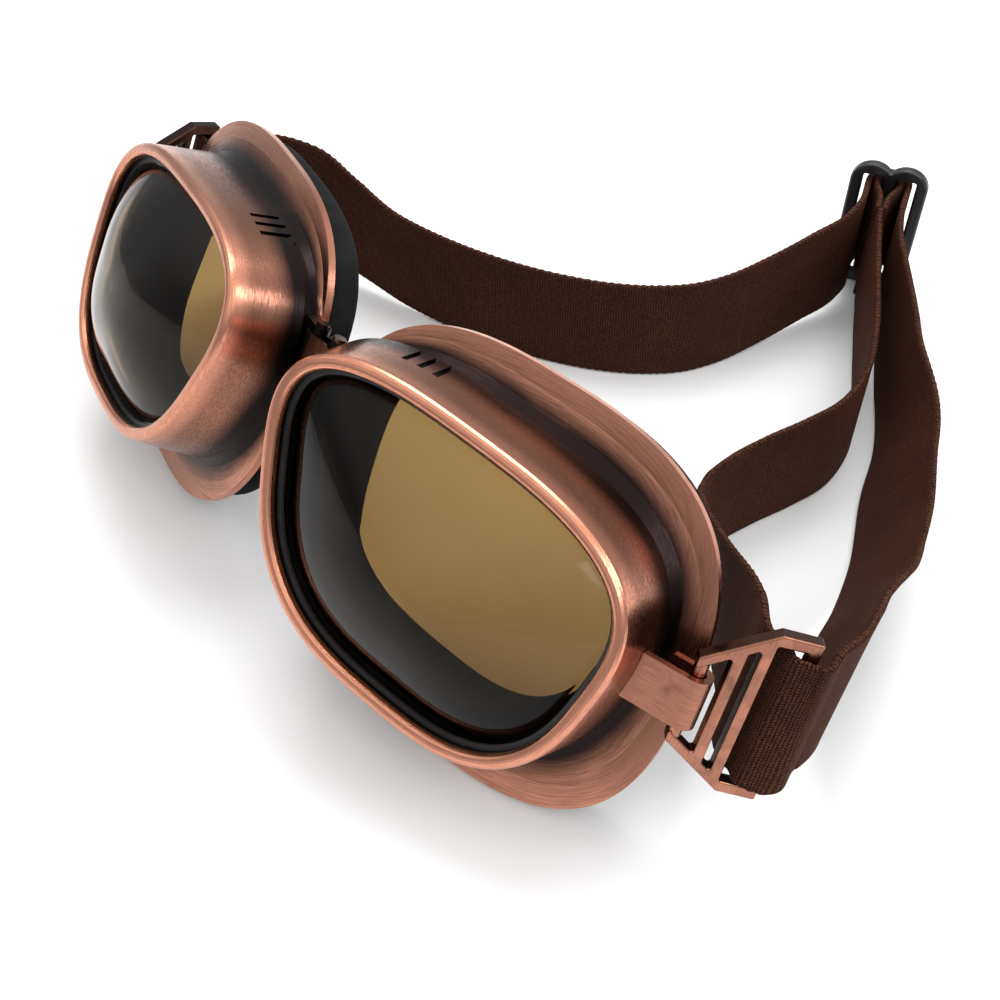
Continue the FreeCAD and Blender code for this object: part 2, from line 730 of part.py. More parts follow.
def smooth_route(points, start, end):
    """Closely spaced places and directions of a smooth route with set directions at its ends."""
    speeds = [start]
    for before, here, after in zip(points, points[1:], points[2:]):
        come, leave = here - before, after - here
        speeds.append((come * (leave.Length / come.Length) + leave * (come.Length / leave.Length))
                      * (1 / (come.Length + leave.Length)))
    speeds.append(end)
    places = []
    directions = []
    for step in range(len(points) - 1):
        first, last = points[step], points[step + 1]
        chord = first.distanceToPoint(last)
        leave, arrive = speeds[step] * chord, speeds[step + 1] * chord
        for fine in range(OUTLINE_POINTS + 1):
            along = fine / OUTLINE_POINTS
            square, cube = along ** 2, along ** 3
            ease = 3 * square - 2 * cube
            places.append(first + (last - first) * ease + leave * (cube - 2 * square + along)
                          + arrive * (cube - square))
            slope = 6 * (along - square)
            directions.append(((last - first) * slope + leave * (3 * square - 4 * along + 1)
                               + arrive * (3 * square - 2 * along)).normalize())
    return places, directions


def build_band(label, points, start, end, ups):
    """Flat webbing along a smooth route with a set direction at its start and its end.

    Each upright direction comes with its share of the way along.
    """
    places, directions = smooth_route(points, start, end)
    gone = [0.0]
    for before, after in zip(places, places[1:]):
        gone.append(gone[-1] + before.distanceToPoint(after))
    kept = [0]
    for spot in range(1, len(places) - 1):
        turned = math.degrees(directions[spot].getAngle(directions[kept[-1]]))
        if turned > MAX_TURN or gone[spot] - gone[kept[-1]] > size("strap_width") / 2:
            kept.append(spot)
    kept.append(len(places) - 1)
    sections = []
    for spot in kept:
        up = up_along(ups, gone[spot] / gone[-1])
        side = directions[spot].cross(up).normalize() * size("strap_thickness") / 2
        up = side.cross(directions[spot]).normalize() * size("strap_width") / 2
        sections.append([places[spot] + up + side, places[spot] + up - side,
                         places[spot] - up - side, places[spot] - up + side])
    feature = doc.addObject("Part::Feature", label)
    feature.Label = label
    feature.Shape = skin_solid(sections)
    feature.Placement = Placement()
    nodes.append(feature)


def skin_solid(sections):
    """Solid with flat three-cornered faces between four-cornered sections."""
    first, last = sections[0], sections[-1]
    corners = [first[::-1], last]
    for near, far in zip(sections, sections[1:]):
        for place in range(len(near)):
            corners.append([near[place - 1], near[place], far[place]])
            corners.append([near[place - 1], far[place], far[place - 1]])
    shell = Part.Shell([Part.Face(Part.makePolygon(loop + loop[:1])) for loop in corners])
    shell.sewShape()
    solid = Part.Solid(shell)
    if solid.Volume < 0:
        solid.reverse()
    return solid


def up_along(ups, share):
    """Upright direction of the strap at a share of the way along."""
    for (start, start_up), (end, end_up) in zip(ups, ups[1:]):
        if share <= end:
            gone = (share - start) / (end - start)
            return start_up + (end_up - start_up) * (gone * gone * (3 - 2 * gone))
    return ups[-1][1]


def leaned(angle):
    """Upright direction leaned towards the middle of the loop from the left side."""
    inward = Rotation(Vector(0, 0, 1), size("slider_turn")).multVec(Vector(-1, 0, 0))
    return Vector(0, 0, 1) * math.cos(math.radians(angle)) + inward * math.sin(math.radians(angle))


def build_strap():
    """The three stretches of the strap and its two hems."""
    plumb = Vector(0, 0, 1)
    left_up = buckle_placement(1).Rotation.multVec(plumb)
    right_up = buckle_placement(-1).Rotation.multVec(plumb)
    end_bar = (buckle_stations()[4] + buckle_stations()[5]) / 2
    bar_place = buckle_placement(-1) * Placement(Vector(-end_bar, 0, 0), Rotation())
    right_start = build_hem("strap_buckle_hem", size("bar_width"), size("buckle_thickness"),
                            bar_place, Vector(-1, 0, 0))
    slider_end = build_hem("strap_slider_hem", size("slider_bar"), size("slider_thickness"),
                           slider_placement(), Vector(0, -1, 0))
    right_along = bar_place.Rotation.multVec(Vector(-1, 0, 0))
    slider_across = slider_placement().Rotation.multVec(Vector(-1, 0, 0))
    slider_back = slider_placement().Rotation.multVec(Vector(0, 1, 0))
    settle = 1 / ROUND_STEPS
    loop = loop_points()
    middle = len(loop) // 2
    build_band("strap_back", [right_start] + route_points(BACK_ROUTE_SHARES) + loop[:middle - 1:-1],
               right_along, -slider_across, [(0, right_up), (settle, plumb), (1, plumb)])
    thread = thread_points()
    through = (thread[THREAD_MIDDLE + 1] - thread[THREAD_MIDDLE - 1]).normalize()
    outer = loop[middle::-1] + route_points(OUTER_ROUTE_SHARES)[::-1] + thread[:THREAD_MIDDLE + 1]
    leans = [(share, leaned(angle)) for share, angle in OUTER_LEANS]
    ups = [(0, plumb), (settle / 2, plumb)] + leans + [(1 - settle / 2, left_up), (1, left_up)]
    build_band("strap_outer", outer, -slider_across, through, ups)
    inner = thread[THREAD_MIDDLE:] + route_points(INNER_ROUTE_SHARES) + [slider_end]
    build_band("strap_inner", inner, through, slider_back, [(0, left_up), (settle, plumb), (1, plumb)])


def main():
    """Builds every piece, checks it and writes one file for each."""
    for name, side in (("left", 1), ("right", -1)):
        build_bezel(name, side)
        build_lens(name, side)
        build_gasket(name, side)
        build_rings(name, side)
        build_flange(name, side)
        build_pad(name, side)
        build_tab(name, side)
        build_buckle(name, side)
    build_bridge()
    build_slider()
    build_strap()
    doc.recompute()
    for item in doc.Objects:
        if "Invalid" in item.State or "Error" in item.State:
            raise RuntimeError(f"{item.Label} failed: {item.State}")
    for node in nodes:
        if node.Shape.isNull() or not node.Shape.isValid():
            raise RuntimeError(f"{node.Label} has no valid shape")
    os.makedirs("parts", exist_ok=True)
    for node in nodes:
        node.Shape.exportStep(f"parts/{node.Label}.step")
        print(node.Label, len(node.Shape.Solids), round(node.Shape.Volume, 1))


main()
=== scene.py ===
"""Riding goggles with antique copper cups, tinted domed lenses and a brown webbing strap."""
import logging
import math
from dataclasses import dataclass
from enum import Enum
from typing import Any, Iterable, Optional, Sequence, Union

import bmesh
import bpy
from mathutils import Matrix, Vector


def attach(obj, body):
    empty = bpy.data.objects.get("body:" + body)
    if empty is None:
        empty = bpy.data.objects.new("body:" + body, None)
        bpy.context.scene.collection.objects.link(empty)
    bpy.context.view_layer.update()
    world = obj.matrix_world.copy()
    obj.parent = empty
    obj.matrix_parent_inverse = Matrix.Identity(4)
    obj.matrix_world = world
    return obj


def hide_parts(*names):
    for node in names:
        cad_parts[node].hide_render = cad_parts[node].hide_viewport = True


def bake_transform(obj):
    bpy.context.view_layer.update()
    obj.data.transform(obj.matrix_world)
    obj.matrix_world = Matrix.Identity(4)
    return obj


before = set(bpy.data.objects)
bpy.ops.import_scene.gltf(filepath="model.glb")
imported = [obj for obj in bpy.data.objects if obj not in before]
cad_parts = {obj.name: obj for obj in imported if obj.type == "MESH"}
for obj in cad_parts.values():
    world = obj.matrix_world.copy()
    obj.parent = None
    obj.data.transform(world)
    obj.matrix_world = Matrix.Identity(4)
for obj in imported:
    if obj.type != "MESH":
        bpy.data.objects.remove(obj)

log = logging.getLogger("goggles")
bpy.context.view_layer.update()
MM = 0.001
# Middle of a noise or a weave that runs from 0 to 1.
MIDDLE = 0.5
Colour = tuple[float, float, float]
Point = tuple[float, float, float]
Flat = tuple[float, float]
# Where a soft step starts and where it ends.
Span = tuple[float, float]
Value = Union["Wire", float, Sequence[float]]


class Side(Enum):
    """Cup of the pair, as the wearer has it."""

    LEFT = 1
    RIGHT = -1

    @property
    def word(self) -> str:
        """Lower-case name of the side."""
        return self.name.lower()


class Wire:
    """Output socket of a shader node that takes part in plain arithmetic."""

    def __init__(self, shader: "Graph", socket: bpy.types.NodeSocket) -> None:
        """Keeps the socket and the node graph that it belongs to."""
        self.shader = shader
        self.socket = socket

    def __add__(self, other: Value) -> "Wire":
        """Sum."""
        return self.shader.math("ADD", self, other)

    __radd__ = __add__

    def __sub__(self, other: Value) -> "Wire":
        """Difference."""
        return self.shader.math("SUBTRACT", self, other)

    def __rsub__(self, other: Value) -> "Wire":
        """Difference from a number."""
        return self.shader.math("SUBTRACT", other, self)

    def __mul__(self, other: Value) -> "Wire":
        """Product."""
        return self.shader.math("MULTIPLY", self, other)

    __rmul__ = __mul__

    def __truediv__(self, other: Value) -> "Wire":
        """Quotient."""
        return self.shader.math("DIVIDE", self, other)

    def __pow__(self, other: Value) -> "Wire":
        """Power."""
        return self.shader.math("POWER", self, other)

    def __abs__(self) -> "Wire":
        """Size without sign."""
        return self.shader.math("ABSOLUTE", self)


class Graph:
    """Node graph, built node by node."""

    def __init__(self, tree: bpy.types.NodeTree) -> None:
        """Keeps the tree that the nodes go to."""
        self.tree = tree

    def node(self, kind: str, settings: Optional[dict[str, Any]] = None,
             inputs: Optional[dict[Union[str, int], Value]] = None) -> bpy.types.Node:
        """Adds any node.

        Args:
            kind: Type of the node.
            settings: Its own settings, or the stops of a ramp.
            inputs: Values or wires for its sockets.

        Returns:
            The new node.
        """
        made = self.tree.nodes.new(kind)
        for key, setting in (settings or {}).items():
            if key == "stops":
                self.set_stops(made.color_ramp, setting)
            else:
                setattr(made, key, setting)
        for key, given in (inputs or {}).items():
            self.put(made.inputs[key], given)
        return made

    def put(self, socket: bpy.types.NodeSocket, given: Value) -> None:
        """Links a wire to a socket or sets its value.

        Args:
            socket: Socket to fill.
            given: Wire or plain value.
        """
        if isinstance(given, Wire):
            self.tree.links.new(given.socket, socket)
        else:
            socket.default_value = given

    @staticmethod
    def set_stops(ramp: bpy.types.ColorRamp, stops: Sequence[tuple[float, Colour]]) -> None:
        """Sets the stops of a colour ramp.

        Args:
            ramp: Ramp to set.
            stops: Places from 0 to 1, with their colours.
        """
        while len(ramp.elements) < len(stops):
            ramp.elements.new(1.0)
        for element, (place, colour) in zip(ramp.elements, stops):
            element.position = place
            element.color = (*colour, 1.0)

    def math(self, operation: str, *values: Value) -> Wire:
        """Math node on wires and numbers."""
        made = self.node("ShaderNodeMath", {"operation": operation}, dict(enumerate(values)))
        return Wire(self, made.outputs[0])

    def vector(self, operation: str, *values: Value) -> bpy.types.Node:
        """Vector Math node."""
        return self.node("ShaderNodeVectorMath", {"operation": operation}, dict(enumerate(values)))

    def dot(self, first: Value, second: Value) -> Wire:
        """Dot product of two vectors."""
        return Wire(self, self.vector("DOT_PRODUCT", first, second).outputs["Value"])

    def place(self) -> Wire:
        """Place on the piece, in metres, as it lies at rest."""
        return Wire(self, self.node("ShaderNodeTexCoord").outputs["Object"])

    def place_from(self, origin: Point) -> Wire:
        """Place on the piece as seen from an origin, in metres."""
        return Wire(self, self.vector("SUBTRACT", self.place(), origin).outputs["Vector"])

    def facing(self) -> Wire:
        """Direction that the piece's surface faces, as it lies at rest."""
        return Wire(self, self.node("ShaderNodeTexCoord").outputs["Normal"])

    def attribute(self, name: str) -> tuple[Wire, Wire]:
        """First two numbers of a point attribute.

        Args:
            name: Name of the attribute.

        Returns:
            The two numbers.
        """
        read = self.node("ShaderNodeAttribute", {"attribute_name": name})
        split = self.node("ShaderNodeSeparateXYZ", inputs={0: Wire(self, read.outputs["Vector"])})
        return Wire(self, split.outputs[0]), Wire(self, split.outputs[1])

    def point(self, across: Value, back: Value, up: Value) -> Wire:
        """Vector from three numbers or wires."""
        return Wire(self, self.node("ShaderNodeCombineXYZ", inputs={0: across, 1: back, 2: up}).outputs[0])

    def noise(self, at: Wire, scale: float, detail: float = 2.0) -> Wire:
        """Soft noise from 0 to 1."""
        made = self.node("ShaderNodeTexNoise", inputs={"Vector": at, "Scale": scale, "Detail": detail})
        return Wire(self, made.outputs[0])

    def drawn_noise(self, at: Sequence[Value], rates: Point, detail: float) -> Wire:
        """Noise that each direction draws out at a rate of its own, as a brush draws lines."""
        drawn = self.point(*(place * rate for place, rate in zip(at, rates)))
        return self.noise(drawn, scale=1.0, detail=detail)

    def smooth(self, value: Wire, low: float, high: float) -> Wire:
        """Smooth step from 0 at low to 1 at high."""
        made = self.node("ShaderNodeMapRange", {"interpolation_type": "SMOOTHSTEP"},
                         {0: value, 1: low, 2: high})
        return Wire(self, made.outputs[0])

    def mix(self, share: Value, first: Union[Wire, Colour], second: Union[Wire, Colour]) -> Wire:
        """Colour between two colours.

        Args:
            share: Share of the second colour.
            first: First colour.
            second: Second colour.

        Returns:
            The mixed colour.
        """
        made = self.node("ShaderNodeMix", {"data_type": "RGBA"}, {"Factor": share})
        for socket, given in ((made.inputs[6], first), (made.inputs[7], second)):
            self.put(socket, given if isinstance(given, Wire) else (*given, 1.0))
        return Wire(self, made.outputs[2])


class Shader(Graph):
    """One procedural material with a principled surface."""

    def __init__(self, name: str) -> None:
        """Starts a material.

        Args:
            name: Name of the material.
        """
        self.material = bpy.data.materials.new(name)
        self.material.use_nodes = True
        super().__init__(self.material.node_tree)
        self.tree.nodes.clear()
        self.surface = self.node("ShaderNodeBsdfPrincipled")
        output = self.node("ShaderNodeOutputMaterial")
        self.tree.links.new(self.surface.outputs["BSDF"], output.inputs["Surface"])

    def bump(self, height: Wire, strength: float, distance: float) -> None:
        """Bump from a height wire into the surface's normal."""
        made = self.node("ShaderNodeBump",
                         inputs={"Strength": strength, "Distance": distance, "Height": height})
        self.put(self.surface.inputs["Normal"], Wire(self, made.outputs[0]))

    def set(self, **inputs: Value) -> None:
        """Sets sockets of the surface, with underscores for spaces in their names."""
        for key, given in inputs.items():
            self.put(self.surface.inputs[key.replace("_", " ")], given)


@dataclass(frozen=True)
class Stance:
    """How the pair lies on the floor. Lengths in millimetres, angles in degrees."""

    cup_spacing: float = 91.4
    cup_rise: float = 45.7
    lean: float = 32.4
    yaw: float = 14.2
    roll: float = 6.6
    origin_across: float = 5.5
    origin_back: float = 79.0

    def cup(self, side: Side) -> Matrix:
        """Frame of one cup: across, back and up.

        Args:
            side: Which cup.

        Returns:
            The frame, in millimetres.
        """
        turn = (Matrix.Rotation(math.radians(-self.lean), 4, "X")
                @ Matrix.Rotation(math.radians(side.value * self.yaw), 4, "Z")
                @ Matrix.Rotation(math.radians(-side.value * self.roll), 4, "Y"))
        across = side.value * self.cup_spacing / 2 - self.origin_across
        return Matrix.Translation((across, -self.origin_back, self.cup_rise)) @ turn

    def floor(self, across: float, back: float, up: float) -> Vector:
        """Point of the floor plan in the frame of the part."""
        return Vector((across - self.origin_across, back - self.origin_back, up))


STANCE = Stance()


@dataclass(frozen=True)
class CupWear:
    """Where a cup's copper is brushed, rubbed and dark, and where shade is painted on faces inside the cup
    and faces that turn back.

    Lengths are in metres, and depths go back from the cup's origin.
    """

    half_width: float = 0.040
    half_height: float = 0.034
    ring_power: float = 3.0
    ring_root: float = 0.3333
    fine_rates: Point = (8.0, 4600.0, 190.0)
    fine_share: float = 0.85
    long_rates: Point = (3.4, 2300.0, 110.0)
    long_share: float = 0.15
    cloud_scale: float = 38.0
    seam_start: Span = (0.0074, 0.0130)
    seam_end: Span = (0.0173, 0.01895)
    seam_least: float = 0.70
    seam_swing: float = 0.65
    seam_scale: float = 1.7
    smear_cloud: float = 0.6
    smear_lines: float = 0.4
    smear_most: float = 0.35
    rubbed_rim: Span = (0.0016, 0.0050)
    rubbed_skirt: Span = (0.0182, 0.0196)
    # Painted shade: faces that turn inward, past the rim, and faces that turn back, short of the skirt, are
    # darkened.
    inward: Span = (-0.012, -0.004)
    inside_start: Span = (0.0011, 0.0018)
    backward: Span = (0.3, 0.6)
    behind_end: Span = (0.0188, 0.0194)


@dataclass(frozen=True)
class HardwareWear:
    """Where the copper of a small part is brushed, rubbed and dark, and where shade is painted on the sides
    of a plate.
    """

    line_rates: Point = (260.0, 6800.0, 1.0)
    line_contrast: float = 0.55
    cloud_scale: float = 160.0
    level_span: Span = (0.35, 0.80)
    patches: float = 0.5
    rubbed_least: float = 0.12
    rubbed_swing: float = 0.5
    rubbed_span: Span = (0.50, 0.35)


@dataclass(frozen=True)
class Copper:
    """Antique copper: brushed lines, bright edges and a dark patina in the hollows, with painted shade in the
    same dark colour.
    """

    bright: Colour = (0.72, 0.310, 0.195)
    bright_least: float = 0.08
    bright_lines: float = 0.28
    bright_cloud: float = 0.16
    bright_polish: float = 0.5
    worn: Colour = (0.120, 0.055, 0.040)
    # Colour of the patina, also used for painted shade inside the cups, on their backward faces and on the
    # buckles.
    patina: Colour = (0.0065, 0.0062, 0.0074)
    patina_span: Span = (0.58, 0.78)
    patina_and_shade_most: float = 0.97
    line_span: Span = (0.28, 0.72)
    cloud_span: Span = (0.3, 0.7)
    roughness: float = 0.18
    rough_lines: float = 0.16
    rough_patina: float = 0.06
    groove_strength: float = 0.12
    groove_depth: float = 0.00006
    cup_wear: CupWear = CupWear()
    hardware_wear: HardwareWear = HardwareWear()

    def dress(self, shader: Shader, brushed: Wire, dark: Wire, cloud: Wire,
              polish: Wire) -> bpy.types.Material:
        """Fills the surface from masks.

        Args:
            shader: Shader to fill.
            brushed: Fine brushed lines.
            dark: Share of patina and painted shade.
            cloud: Slow change of tone.
            polish: Share of bright, rubbed metal.

        Returns:
            The finished material.
        """
        lines = shader.smooth(brushed, *self.line_span)
        share = (self.bright_least + self.bright_lines * lines
                 + self.bright_cloud * shader.smooth(cloud, *self.cloud_span) + self.bright_polish * polish)
        tone = shader.mix(shader.math("MINIMUM", share, 1.0), self.worn, self.bright)
        shader.set(Base_Color=shader.mix(dark, tone, self.patina), Metallic=1.0,
                   Roughness=self.roughness + self.rough_lines * (1 - lines) + self.rough_patina * dark)
        shader.bump(lines, self.groove_strength, self.groove_depth)
        return shader.material

    def for_cup(self, side: Side) -> bpy.types.Material:
        """Copper of one cup, brushed along its outline, with a dark seam, and painted shade on its inside and
        on faces that turn back.

        Args:
            side: Which cup.

        Returns:
            The finished material.
        """
        shader = Shader(f"antique_copper_{side.word}_cup")
        wear = self.cup_wear
        cup = STANCE.cup(side)
        arm = shader.place_from(tuple(cup.translation * MM))
        axes = [tuple(cup.col[place].xyz) for place in range(3)]
        across, depth, up = (shader.dot(arm, axis) for axis in axes)
        turn = shader.math("ARCTAN2", up, across)
        ring = ((abs(across) / wear.half_width) ** wear.ring_power
                + (abs(up) / wear.half_height) ** wear.ring_power) ** wear.ring_root
        fine = shader.drawn_noise((turn, depth, ring), wear.fine_rates, detail=3.0)
        long = shader.drawn_noise((turn, depth, ring), wear.long_rates, detail=2.0)
        cloud = shader.noise(shader.place(), wear.cloud_scale)
        seam = shader.smooth(depth, *wear.seam_start) * (1 - shader.smooth(depth, *wear.seam_end))
        drift = shader.noise(shader.point(turn, 0.0, 0.0), wear.seam_scale, detail=1.0)
        seam = seam * (wear.seam_least + wear.seam_swing * drift)
        blotch = cloud * wear.smear_cloud + long * wear.smear_lines
        smear = shader.smooth(blotch, *self.patina_span) * wear.smear_most
        rubbed = 1 - shader.smooth(depth, *wear.rubbed_rim) + shader.smooth(depth, *wear.rubbed_skirt)
        along_arm, backward = (shader.dot(shader.facing(), way) for way in (arm, axes[1]))
        outward = along_arm - depth * backward
        # Painted shade: faces inside the cup and faces that turn back are darkened with the patina colour.
        inside = (1 - shader.smooth(outward, *wear.inward)) * shader.smooth(depth, *wear.inside_start)
        behind = shader.smooth(backward, *wear.backward) * (1 - shader.smooth(depth, *wear.behind_end))
        dark = shader.math("MINIMUM", seam + smear * (1 - rubbed) + inside + behind, self.patina_and_shade_most)
        return self.dress(shader, fine * wear.fine_share + long * wear.long_share, dark, cloud, rubbed)

    def for_hardware(self, name: str, along: Vector, across: Vector, patina_and_shade_all_over: float,
                     edge: float) -> bpy.types.Material:
        """Copper of a small part, brushed along one direction.

        Args:
            name: Name of the material.
            along: Direction of the brushed lines.
            across: Direction over the lines.
            patina_and_shade_all_over: Share of patina all over; on the right buckle, tab and pin it is mostly
                painted shade.
            edge: Share of painted shade on the sides of the plate.

        Returns:
            The finished material.
        """
        shader = Shader(name)
        wear = self.hardware_wear
        at = shader.place()
        face = along.cross(across).normalized()
        # Painted shade: the faces that do not face the plate's flat are darkened.
        level = abs(shader.dot(shader.facing(), tuple(face)))
        sides = edge * (1 - shader.smooth(level, *wear.level_span))
        run, over = (shader.dot(at, tuple(way)) for way in (along, across))
        fine = shader.drawn_noise((run, over, 0.0), wear.line_rates, detail=2.0)
        cloud = shader.noise(at, wear.cloud_scale, detail=3.0)
        patches = wear.patches * shader.smooth(cloud, *self.patina_span)
        dark = shader.math("MINIMUM", patina_and_shade_all_over + (1 - patina_and_shade_all_over) * (patches + sides), self.patina_and_shade_most)
        rubbed = wear.rubbed_least + wear.rubbed_swing * shader.smooth(cloud, *wear.rubbed_span)
        return self.dress(shader, MIDDLE + wear.line_contrast * (fine - MIDDLE), dark, cloud, rubbed)


@dataclass(frozen=True)
class SmokedLens:
    """Brown tinted plastic with a clear gloss coat and faint wipe marks, deeper at a slant."""

    tint: Colour = (0.30, 0.188, 0.066)
    deep: Colour = (0.022, 0.018, 0.014)
    slant_blend: float = 0.5
    slant_span: Span = (0.42, 0.80)
    mark_scale: float = 120.0
    mark_share: float = 0.35
    mark_shade: float = 0.8
    mark_span: Span = (0.55, 0.8)
    roughness: float = 0.015
    rough_marks: float = 0.04
    refraction: float = 1.08
    coat: float = 0.75
    coat_refraction: float = 1.24
    coat_roughness: float = 0.02

    def material(self) -> bpy.types.Material:
        """Tinted clear material.

        Returns:
            The finished material.
        """
        shader = Shader("smoked_lens")
        marks = shader.noise(shader.place(), self.mark_scale, detail=4.0)
        layer = shader.node("ShaderNodeLayerWeight", inputs={"Blend": self.slant_blend})
        slant = Wire(shader, layer.outputs["Facing"])
        wiped = tuple(self.mark_shade * part for part in self.tint)
        colour = shader.mix(marks * self.mark_share, self.tint, wiped)
        colour = shader.mix(shader.smooth(slant, *self.slant_span), colour, self.deep)
        shader.set(Base_Color=colour,
                   Roughness=self.roughness + self.rough_marks * shader.smooth(marks, *self.mark_span),
                   Transmission_Weight=1.0, IOR=self.refraction,
                   Coat_Weight=self.coat, Coat_IOR=self.coat_refraction, Coat_Roughness=self.coat_roughness)
        return shader.material


@dataclass(frozen=True)
class DarkTrim:
    """Black rubber, foam or plastic with a fine surface grain and a little dust."""

    name: str
    colour: Colour
    roughness: float
    grain: float
    depth: float
    shine: float = 0.5
    rough_grain: float = 0.2
    grain_strength: float = 0.35
    dust_spread: float = 9.0
    dust_span: Span = (0.4, 0.75)
    dust_share: float = 0.55
    dust_gain: float = 2.0
    dust_lift: float = 0.002

    def material(self) -> bpy.types.Material:
        """Dark grained material.

        Returns:
            The finished material.
        """
        shader = Shader(self.name)
        grain = shader.noise(shader.place(), self.grain, detail=3.0)
        dust = shader.noise(shader.place(), self.grain / self.dust_spread)
        pale = tuple(self.dust_gain * part + self.dust_lift for part in self.colour)
        share = self.dust_share * shader.smooth(dust, *self.dust_span)
        shader.set(Base_Color=shader.mix(share, self.colour, pale),
                   Roughness=self.roughness + self.rough_grain * (grain - MIDDLE),
                   Specular_IOR_Level=self.shine)
        shader.bump(grain, self.grain_strength, self.depth)
        return shader.material


@dataclass(frozen=True)
class Webbing:
    """Dark brown elastic webbing with fine cross ribs. The rib and yarn pitches are in millimetres."""

    base: Colour = (0.0120, 0.0048, 0.0034)
    # Colour of the painted highlight on the raised ribs.
    lit: Colour = (0.098, 0.0385, 0.0235)
    rib: float = 0.58
    rib_bend: float = 0.9
    rib_height: float = 0.22
    yarn: float = 0.52
    yarn_bend: float = 1.2
    yarn_height: float = 0.17
    over_under: float = 0.5
    drift: float = 3.0
    drift_scale: float = 420.0
    fuzz_scale: float = 2600.0
    fuzz_light: float = 1.1
    fuzz_height: float = 0.6
    wear_scale: float = 70.0
    wear_least: float = 0.45
    wear_swing: float = 0.7
    light_span: Span = (0.34, 0.90)
    roughness: float = 0.78
    rough_fuzz: float = 0.15
    shine: float = 0.04
    sheen: float = 0.10
    sheen_roughness: float = 0.45
    sheen_tint: Colour = (0.45, 0.17, 0.11)
    bump_strength: float = 0.70
    bump_depth: float = 0.00019

    def material(self) -> bpy.types.Material:
        """Woven material that follows the strap's own length and width.

        Returns:
            The finished material.
        """
        shader = Shader("brown_webbing")
        along, across = shader.attribute("weave")
        drift = self.drift * shader.noise(shader.place(), self.drift_scale)
        rows = across * (math.tau / (self.yarn * MM)) + drift
        ribs = along * (math.tau / (self.rib * MM)) + drift
        step = shader.math("SINE", ribs + self.rib_bend * shader.math("SINE", rows))
        yarn = shader.math("SINE", rows + self.yarn_bend * shader.math("SINE", ribs * self.over_under))
        weave = MIDDLE + self.rib_height * step + self.yarn_height * yarn
        fuzz = shader.noise(shader.place(), self.fuzz_scale)
        wear = shader.noise(shader.place(), self.wear_scale, detail=3.0)
        # Painted highlight: the raised ribs and the fuzz take the lit colour, stronger and weaker by a slow
        # noise.
        light = (shader.smooth(weave + self.fuzz_light * (fuzz - MIDDLE), *self.light_span)
                 * (self.wear_least + self.wear_swing * wear))
        shader.set(Base_Color=shader.mix(light, self.base, self.lit),
                   Roughness=self.roughness + self.rough_fuzz * (fuzz - MIDDLE),
                   Sheen_Weight=self.sheen, Sheen_Roughness=self.sheen_roughness,
                   Sheen_Tint=(*self.sheen_tint, 1.0), Specular_IOR_Level=self.shine)
        shader.bump(weave + self.fuzz_height * fuzz, self.bump_strength, self.bump_depth)
        return shader.material


@dataclass(frozen=True)
class Outline:
    """Rounded outline of a cup, in its own frame, in millimetres."""

    width: float
    height: float
    power: float
    taper: float
    slope: float
    across: float = 0.0
    up: float = 0.0

    FINENESS = 12

    def points(self, grow: float, count: int) -> list[Flat]:
        """Evenly spaced points of the outline, grown outward.

        Args:
            grow: Distance outward.
            count: How many points.

        Returns:
            Pairs across and up.
        """
        fine = []
        steps = count * self.FINENESS
        for step in range(steps):
            turn = math.tau * step / steps
            side = math.copysign(abs(math.cos(turn)) ** self.power, math.cos(turn))
            rise = math.copysign(abs(math.sin(turn)) ** self.power, math.sin(turn))
            x = self.width / 2 * side * (1 + self.taper * rise)
            fine.append((x + self.across, self.height / 2 * rise + self.slope * x + self.up))
        fine = self.respaced(fine, steps)
        grown = []
        for step, (x, y) in enumerate(fine):
            ahead, behind = fine[(step + 1) % steps], fine[step - 1]
            run, rise = ahead[0] - behind[0], ahead[1] - behind[1]
            size = math.hypot(run, rise)
            grown.append((x + rise / size * grow, y - run / size * grow))
        return self.respaced(grown, count)

    @staticmethod
    def respaced(points: list[Flat], count: int) -> list[Flat]:
        """The same closed outline with evenly spaced points.

        Args:
            points: Points of the outline.
            count: How many points are wanted.

        Returns:
            The new points.
        """
        closed = points + points[:1]
        gone = [0.0]
        for start, end in zip(closed, closed[1:]):
            gone.append(gone[-1] + math.dist(start, end))
        spaced = []
        place = 0
        for step in range(count):
            target = gone[-1] * step / count
            while gone[place + 1] < target:
                place += 1
            share = (target - gone[place]) / (gone[place + 1] - gone[place])
            start, end = closed[place], closed[place + 1]
            spaced.append((start[0] + (end[0] - start[0]) * share, start[1] + (end[1] - start[1]) * share))
        return spaced


def mesh_piece(name: str, points: Sequence[Vector], faces: Sequence[Sequence[int]],
               material: bpy.types.Material) -> bpy.types.Object:
    """Mesh object from points in millimetres, smooth apart from its end caps.

    Args:
        name: Name of the piece.
        points: Its points.
        faces: Its faces.
        material: Its finish.

    Returns:
        The object, linked to the scene.
    """
    mesh = bpy.data.meshes.new(name)
    mesh.from_pydata([point * MM for point in points], [], faces)
    form = bmesh.new()
    form.from_mesh(mesh)
    bmesh.ops.recalc_face_normals(form, faces=form.faces)
    form.to_mesh(mesh)
    form.free()
    mesh.materials.append(material)
    for face in mesh.polygons:
        face.use_smooth = len(face.vertices) <= 4
    mesh.update()
    piece = bpy.data.objects.new(name, mesh)
    bpy.context.scene.collection.objects.link(piece)
    return piece


def grid_faces(rows: int, columns: int, closed_rows: bool) -> list[tuple[int, int, int, int]]:
    """Quads of a grid that is closed across its columns.

    Args:
        rows: How many rows of points.
        columns: How many points a row has.
        closed_rows: Whether the last row joins the first.

    Returns:
        The quads.
    """
    faces = []
    for row in range(rows if closed_rows else rows - 1):
        after = (row + 1) % rows
        for column in range(columns):
            beside = (column + 1) % columns
            faces.append((row * columns + column, row * columns + beside,
                          after * columns + beside, after * columns + column))
    return faces


